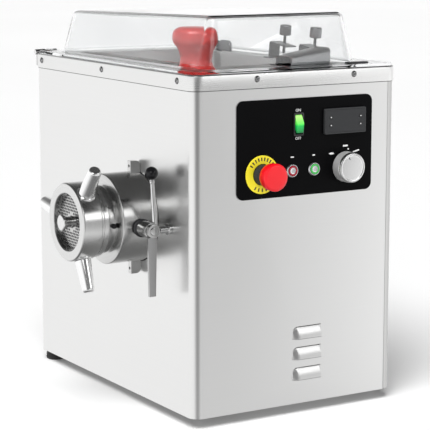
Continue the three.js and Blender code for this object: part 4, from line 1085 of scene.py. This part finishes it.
part("stud", lathe("y", H, shifted([
    (0, -9.6), (10.6, -9.6, 0.8), (12.5, -8.2, 1.0), (12.5, -5.6, 0.8), (9.2, -4.8, 0.4), (8.5, -3.5),
    (8.5, 0.2),
    (7.9, 0.6), (7.9, 1.8), (8.5, 2.2), (8.5, 5.0), (7.9, 5.4), (7.9, 6.4), (8.5, 6.8)], NUT_FRONT) + [
    (8.5, PLATE_BACK - 0.1), (0, PLATE_BACK - 0.1)], 72), POLISHED, "worm_stud", smooth=30)

# Lock

L = (0, LOCK.y, LOCK.z)
PIN_START = HEAD_X + SLEEVE_R + 0.8
BAR_X, BAR_END = LOCK.x + 0.8, LOCK.x + 6.3
part("lock_pin", lathe("x", L, [
    (0, PIN_START + 6.0), (12, PIN_START + 6.0), (12, BAR_X - 0.3, 0.8), (4, BAR_X - 0.3),
    (4, BAR_END + 0.3),
    (6, BAR_END + 0.3), (5.6, BAR_END + 1.6, 0.6), (3.0, BAR_END + 2), (0, BAR_END + 1.8)], 96), LOCK_STEEL,
    "ball_lever", smooth=30)
extra("lock_pad", lathe("x", L, shifted([
    (0, 0), (13, 0, 0.6), (14, 1, 0.6), (14, 4.8, 0.8), (12.4, 5.9, 0.4), (0, 5.9)], PIN_START), 80), BLACK,
    "ball_lever")
lean = placed((LOCK.x - 4, LOCK.y + 8, LOCK.z), "X", 4)
extra("lever_rod", turned_verts(lathe("z", (0, 0, 0), [
    (0, 3), (4.2, 3), (4.15, 20), (3.5, 62), (3.4, 70, 0.3), (4.1, 71, 0.3), (4.1, 74, 0.3), (3.4, 75, 0.3),
    (3.2, 78), (0, 78)], 48), lean), POLISHED, "ball_lever", smooth=30)
ball = [(0, 76.2), (4.0, 76.2, 0.4)]
for k in range(1, 24):
    a = radians(-70 + 160 * k / 24)
    ball.append((10.0 * cos(a), 85.7 + 9.8 * sin(a)))
ball.append((0, 95.5))
part("ball", turned_verts(lathe("z", (0, 0, 0), ball, 64), lean), BALL_BLACK, "lever_ball", smooth=60)
eye = [(4.3, BAR_X), (10.5, BAR_X), (10.5, BAR_END - 0.4, 0.4), (9.4, BAR_END, 0.3), (4.3, BAR_END),
       (4.3, BAR_X)]
part("clamp_eye", lathe("x", L, eye, 80), LOCK_STEEL, "clamp_bar")
blade = [(LOCK.y - 2 + y, LOCK.z + z) for y, z in ((-7, -9.0), (-5.5, -98), (5.5, -98), (7.5, -9.0))]
extra("clamp_blade", prism(blade, BAR_X + 0.3, BAR_END - 0.3, "x"), BAR_STEEL, "clamp_bar", bevelled=0.5,
      segments=3)
part("stud_rod", lathe("y", (LOCK.x, 0, LOCK.z), [
    (0, LOCK.y + 12.3), (5.5, LOCK.y + 12.3, 0.4), (5.5, FRONT - 4.5, 0.3), (8.5, FRONT - 4.2, 0.4),
    (8.5, FRONT - 0.4, 0.3), (0, FRONT - 0.4)], 64), POLISHED, "lock_stud", smooth=30)

# Lid

LID_H, LID_FALL, TAPER, WALL = 81.9, 12, 16.0, 4.0
FLANGE_TOP, LID_TOP = LID_UNDER + WALL, LID_UNDER + LID_H
LID_EDGE = (-HALF_W, HALF_W, -HALF_D, HALF_D)
ROOT_R, TOP_R = 6.0, 10.0


def wall_ring(inset, z):
    """One level of the hood, whose top falls towards the hinges."""
    x0, x1 = LID_WALL_BOX[:2]
    fall = LID_FALL * max(0.0, z - FLANGE_TOP) / LID_H
    return [(x, y, z - fall * (x1 - x) / (x1 - x0)) for x, y, z in pan_ring(LID_WALL_BOX, inset, 30, z, 14)]


def edge_ring(inset, z):
    return pan_ring(LID_EDGE, inset, 20, z, 14)


def arc_rings(c_inset, c_z, r, start, end, steps):
    angles = [radians(start + (end - start) * k / steps) for k in range(steps + 1)]
    return [wall_ring(c_inset + r * cos(a), c_z + r * sin(a)) for a in angles]


outer = [edge_ring(0.6, LID_UNDER), edge_ring(0.0, LID_UNDER + 0.8), edge_ring(0.0, FLANGE_TOP - 0.8),
         edge_ring(0.6, FLANGE_TOP)]
outer += arc_rings(-ROOT_R, FLANGE_TOP + ROOT_R, ROOT_R, -90, -8, 7)
outer += arc_rings(TAPER - 1.0 + TOP_R, LID_TOP - TOP_R, TOP_R, 172, 90, 10)
inner = arc_rings(TAPER - 1.0 + TOP_R, LID_TOP - TOP_R, TOP_R - WALL, 90, 172, 8)
inner += arc_rings(-ROOT_R, FLANGE_TOP + ROOT_R, ROOT_R + WALL, -8, -88, 7)
# One closed skin: the outside and the inside each have a flat top, and they meet under the flange.
verts, faces = sweep_rings(outer + inner, closed=True)
n, top = len(outer[0]), (len(outer) - 1) * len(outer[0])
faces[top:top + n] = [tuple(range(top, top + n)), tuple(range(top + n, top + 2 * n))]
lid = part("lid_cover", (verts, faces), CLEAR, "lid", smooth=50)
edge_top = (FLANGE_TOP + 5.6) / 1000
second_material(lid, CLEAR_EDGE,
                lambda polygon: max(lid.data.vertices[i].co.z for i in polygon.vertices) < edge_top)

HINGE_X, HINGE_Z, LEAF_L, KNUCKLE_L = -HALF_W - 8.0, RIM_TOP + 1.0, 40, 12
leaf_profile = [(-266.3, 505.0), (-264.4, 505.0), (-264.4, 523.0), (-268, 526.5), (-270, 524.6),
                (-266.3, 521.5)]
flap_profile = [(HINGE_X, 530.9), (HINGE_X + 14, 530.9), (LID_WALL_BOX[0] - 6.5, 530.72),
                (LID_WALL_BOX[0] - 6.5, 532.2), (HINGE_X + 1, 532.2), (HINGE_X - 1.5, 531.3)]
for name, start in (("front", -178.0), ("rear", 138.0)):
    c, end = (HINGE_X, 0, HINGE_Z), start + LEAF_L
    fixed, moving = f"hinge_fixed_{name}", f"hinge_moving_{name}"
    knuckles = [lathe("y", c, [(0, s), (4.1, s), (4.5, s + 0.4), (4.5, s + 11.6), (4.1, s + 12),
                               (0, s + 12)], 40, 1)
                for s in (start, end - KNUCKLE_L)]
    part(f"hinge_knuckles_{name}", combine(*knuckles), POLISHED, fixed)
    extra(f"hinge_pin_{name}", lathe("y", c, rod(1.8, start + 11, end - 11), 24, 1), POLISHED, fixed)
    extra(f"hinge_leaf_{name}", prism(leaf_profile, start + 0.5, end - 0.5, "y"), POLISHED, fixed,
          bevelled=0.3, carved=[block(-275, -266.6, start + 11.7, end - 11.7, 518, 535)])
    low, high = start + KNUCKLE_L + 0.4, end - KNUCKLE_L - 0.4
    part(f"hinge_barrel_{name}", lathe("y", c, [
        (2.1, low), (4.1, low), (4.5, low + 0.4), (4.5, high - 0.4), (4.1, high), (2.1, high), (2.1, low)],
        40, 1), POLISHED, moving)
    extra(f"hinge_flap_{name}", prism(flap_profile, low, high, "y"), POLISHED, moving, bevelled=0.25)

part("magnet_block", block(246, 258, 95, 131, FLANGE_TOP + 0.3, FLANGE_TOP + 3.3), BLACK, "lid_magnet",
     bevelled=0.8, segments=3)
PAD_X, PAD_W = 243, 9
for i, (y0, y1) in enumerate(((-126, -96), (-31, -11), (40, 63), (79, 107))):
    outline = rect_outline(PAD_W, y1 - y0, 2, 4, PAD_X, (y0 + y1) / 2)
    pad = build(f"rim_pad_{i + 1}", *prism(outline, RIM_TOP + 0.01, RIM_TOP + 0.33, "z"), BLACK, smooth=30)
    dress(pad, "casing", ())

# Pusher, guard, brackets and thumbscrews

collar_z = TRAY_FLOOR + 3.6
part("pusher_body", lathe("z", THROAT, [
    (0, HEAD_Z + 100), (THROAT_BORE - 3.5, HEAD_Z + 100, 1), (THROAT_BORE - 2, HEAD_Z + 104, 1),
    (THROAT_BORE - 2, collar_z, 0.5), (THROAT_BORE + 6, collar_z, 0.8),
    (THROAT_BORE + 6, collar_z + 6, 1.5),
    (36, collar_z + 14, 6), (28.5, RIM_TOP - 6, 12), (22.0, RIM_TOP + 7, 14), (26, RIM_TOP + 24, 10),
    (36.0, RIM_TOP + 36, 14), (34.0, RIM_TOP + 52, 10), (24, RIM_TOP + 58, 8), (0, RIM_TOP + 58)], 128, 10),
    RED, "pusher", smooth=50)

GUARD_X, GUARD_BASE, GUARD_Y0, GUARD_Y1 = 172.0, RIM_TOP + 2, 14, 84


def guard_slope(shape):
    """Lowers the channel towards its open front end."""
    verts, faces = shape
    length = GUARD_Y1 - GUARD_Y0
    return [(x, y, GUARD_BASE + z * (0.55 + 0.45 * (y - GUARD_Y0) / length)) for x, y, z in verts], faces


def guard_prism(profile, y0, y1):
    return guard_slope(prism([(GUARD_X + x, z) for x, z in profile], y0, y1, "y"))


guard_outer = [(6, 0.2), (6, 20), (7.5, 23.5), (12, 26), (44, 26), (48.5, 23.5), (50, 20), (50, 0.2)]
guard_inner = [(8, -1), (8, 19.2), (9.2, 21.8), (12.8, 24), (43.2, 24), (46.8, 21.8), (48, 19.2), (48, -1)]
eyes = [guard_slope(lathe("y", (GUARD_X + dx, 0, 13), rod(5, 78, 90), 40, 1)) for dx in (20, 36)]
part("guard_channel", guard_prism(guard_outer, GUARD_Y0, GUARD_Y1), DARK_STEEL, "feed_guard", bevelled=0.4,
     carved=[guard_prism(guard_inner, GUARD_Y0 - 2, GUARD_Y1 - 2)] + eyes)
guard_foot = prism(rect_outline(60, 78, 4, 5, 202, 45), RIM_TOP + 0.35, RIM_TOP + 2.15, "z")
extra("guard_foot", guard_foot, DARK_STEEL, "feed_guard", bevelled=0.4)

# An upright ear at the back left of the tray's edge.
ear = [(-166, 526.4), (-114, 526.4), (-115.5, 541), (-119, 544.6), (-124, 545.4), (-166, 545.4)]
ear_hole = lathe("y", (-121, 0, 538.5), rod(2.4, 110, 122), 24, 1)
extra("tray_ear", prism(ear, 114, 116, "y"), DARK_STEEL, "top_rim", bevelled=0.4, carved=[ear_hole])

BRACKET_RISE, BRACKET_TILT, SCREW_X, SCREW_Y = 25.0, 8, 28.5, 98.0
THREAD_PITCH, RIB_DEPTH, RIBS = 1.25, 0.45, 30
shelf_end, shelf_top = SCREW_X + 19, BRACKET_RISE + 2
strip = [(0, 0), (2, 0), (2, BRACKET_RISE - 3), (2.6, BRACKET_RISE - 1), (4.5, BRACKET_RISE),
         (shelf_end, BRACKET_RISE), (shelf_end, shelf_top), (3.5, shelf_top), (1, BRACKET_RISE + 0.8),
         (0, BRACKET_RISE - 2)]
screw_hole = lathe("z", (SCREW_X, SCREW_Y, 0), rod(3, 20, 32), 32, 1)
thumbscrew = [(0, 12), (1.6, 12)]
for k in range(22):
    thumbscrew += [(2.5, 13.0 + k * THREAD_PITCH), (2.0, 13.6 + k * THREAD_PITCH)]
thumbscrew += [(2.5, 41.0), (3.6, 41.4), (3.6, 42.0), (8.6, 42, 0.5), (9.2, 42.8), (9.2, 46.5), (9.2, 50.2),
               (9.2, 53.6), (8.9, 54.2), (8.9, 55.2), (9.2, 55.6), (8.6, 57.4, 0.6), (6.8, 58, 0.5),
               (0, 57.7)]


def ribbed(r, s, a):
    if 42.6 < s < 53.8 and r > 9:
        return r - RIB_DEPTH * (0.5 - 0.5 * cos(RIBS * a))
    return r


thumb_knob = lathe("z", (SCREW_X, SCREW_Y, 0), thumbscrew, 120, 3, ribbed)
for name, bx in (("left", 42.0), ("right", 127.0)):
    bracket = f"clamp_bracket_{name}"
    tilt = placed((bx, 0, RIM_TOP + 2), "Y", BRACKET_TILT)
    part(f"bracket_strip_{name}", turned_verts(prism(strip, 88, 108, "y"), tilt), DARK_STEEL, bracket,
         bevelled=0.4, carved=[turned_verts(screw_hole, tilt)])
    foot = prism(rect_outline(18, 33, 3, 4, bx - 7, 104.5), RIM_TOP + 0.35, RIM_TOP + 2.2, "z")
    extra(f"bracket_foot_{name}", foot, DARK_STEEL, bracket, bevelled=0.4)
    part(f"thumb_knob_{name}", turned_verts(thumb_knob, tilt), DARK_STEEL, f"thumbscrew_{name}", smooth=25)

# CAD nodes that stay, with finished materials

KEPT = {
    "base_plate": SHEET_STEEL, "cross_knife": HEAD_STEEL, "worm": HEAD_STEEL, "output_shaft": POLISHED,
    "output_gear": CAST, "countershaft": POLISHED, "countershaft_gear": CAST,
    "motor_pinion_shaft": POLISHED,
    "gearbox_housing": CAST, "gearbox_cover": CAST, "output_bearing": POLISHED, "head_socket": CAST,
    "shaft_seal": RUBBER, "drive_motor": ALLOY, "electrical_box": GREY, "compressor": ENAMEL,
    "condenser": FINS, "condenser_fan": BLACK,
}
for node, mat in KEPT.items():
    obj = frame["nodes"][node]
    obj.data.materials.clear()
    obj.data.materials.append(mat)
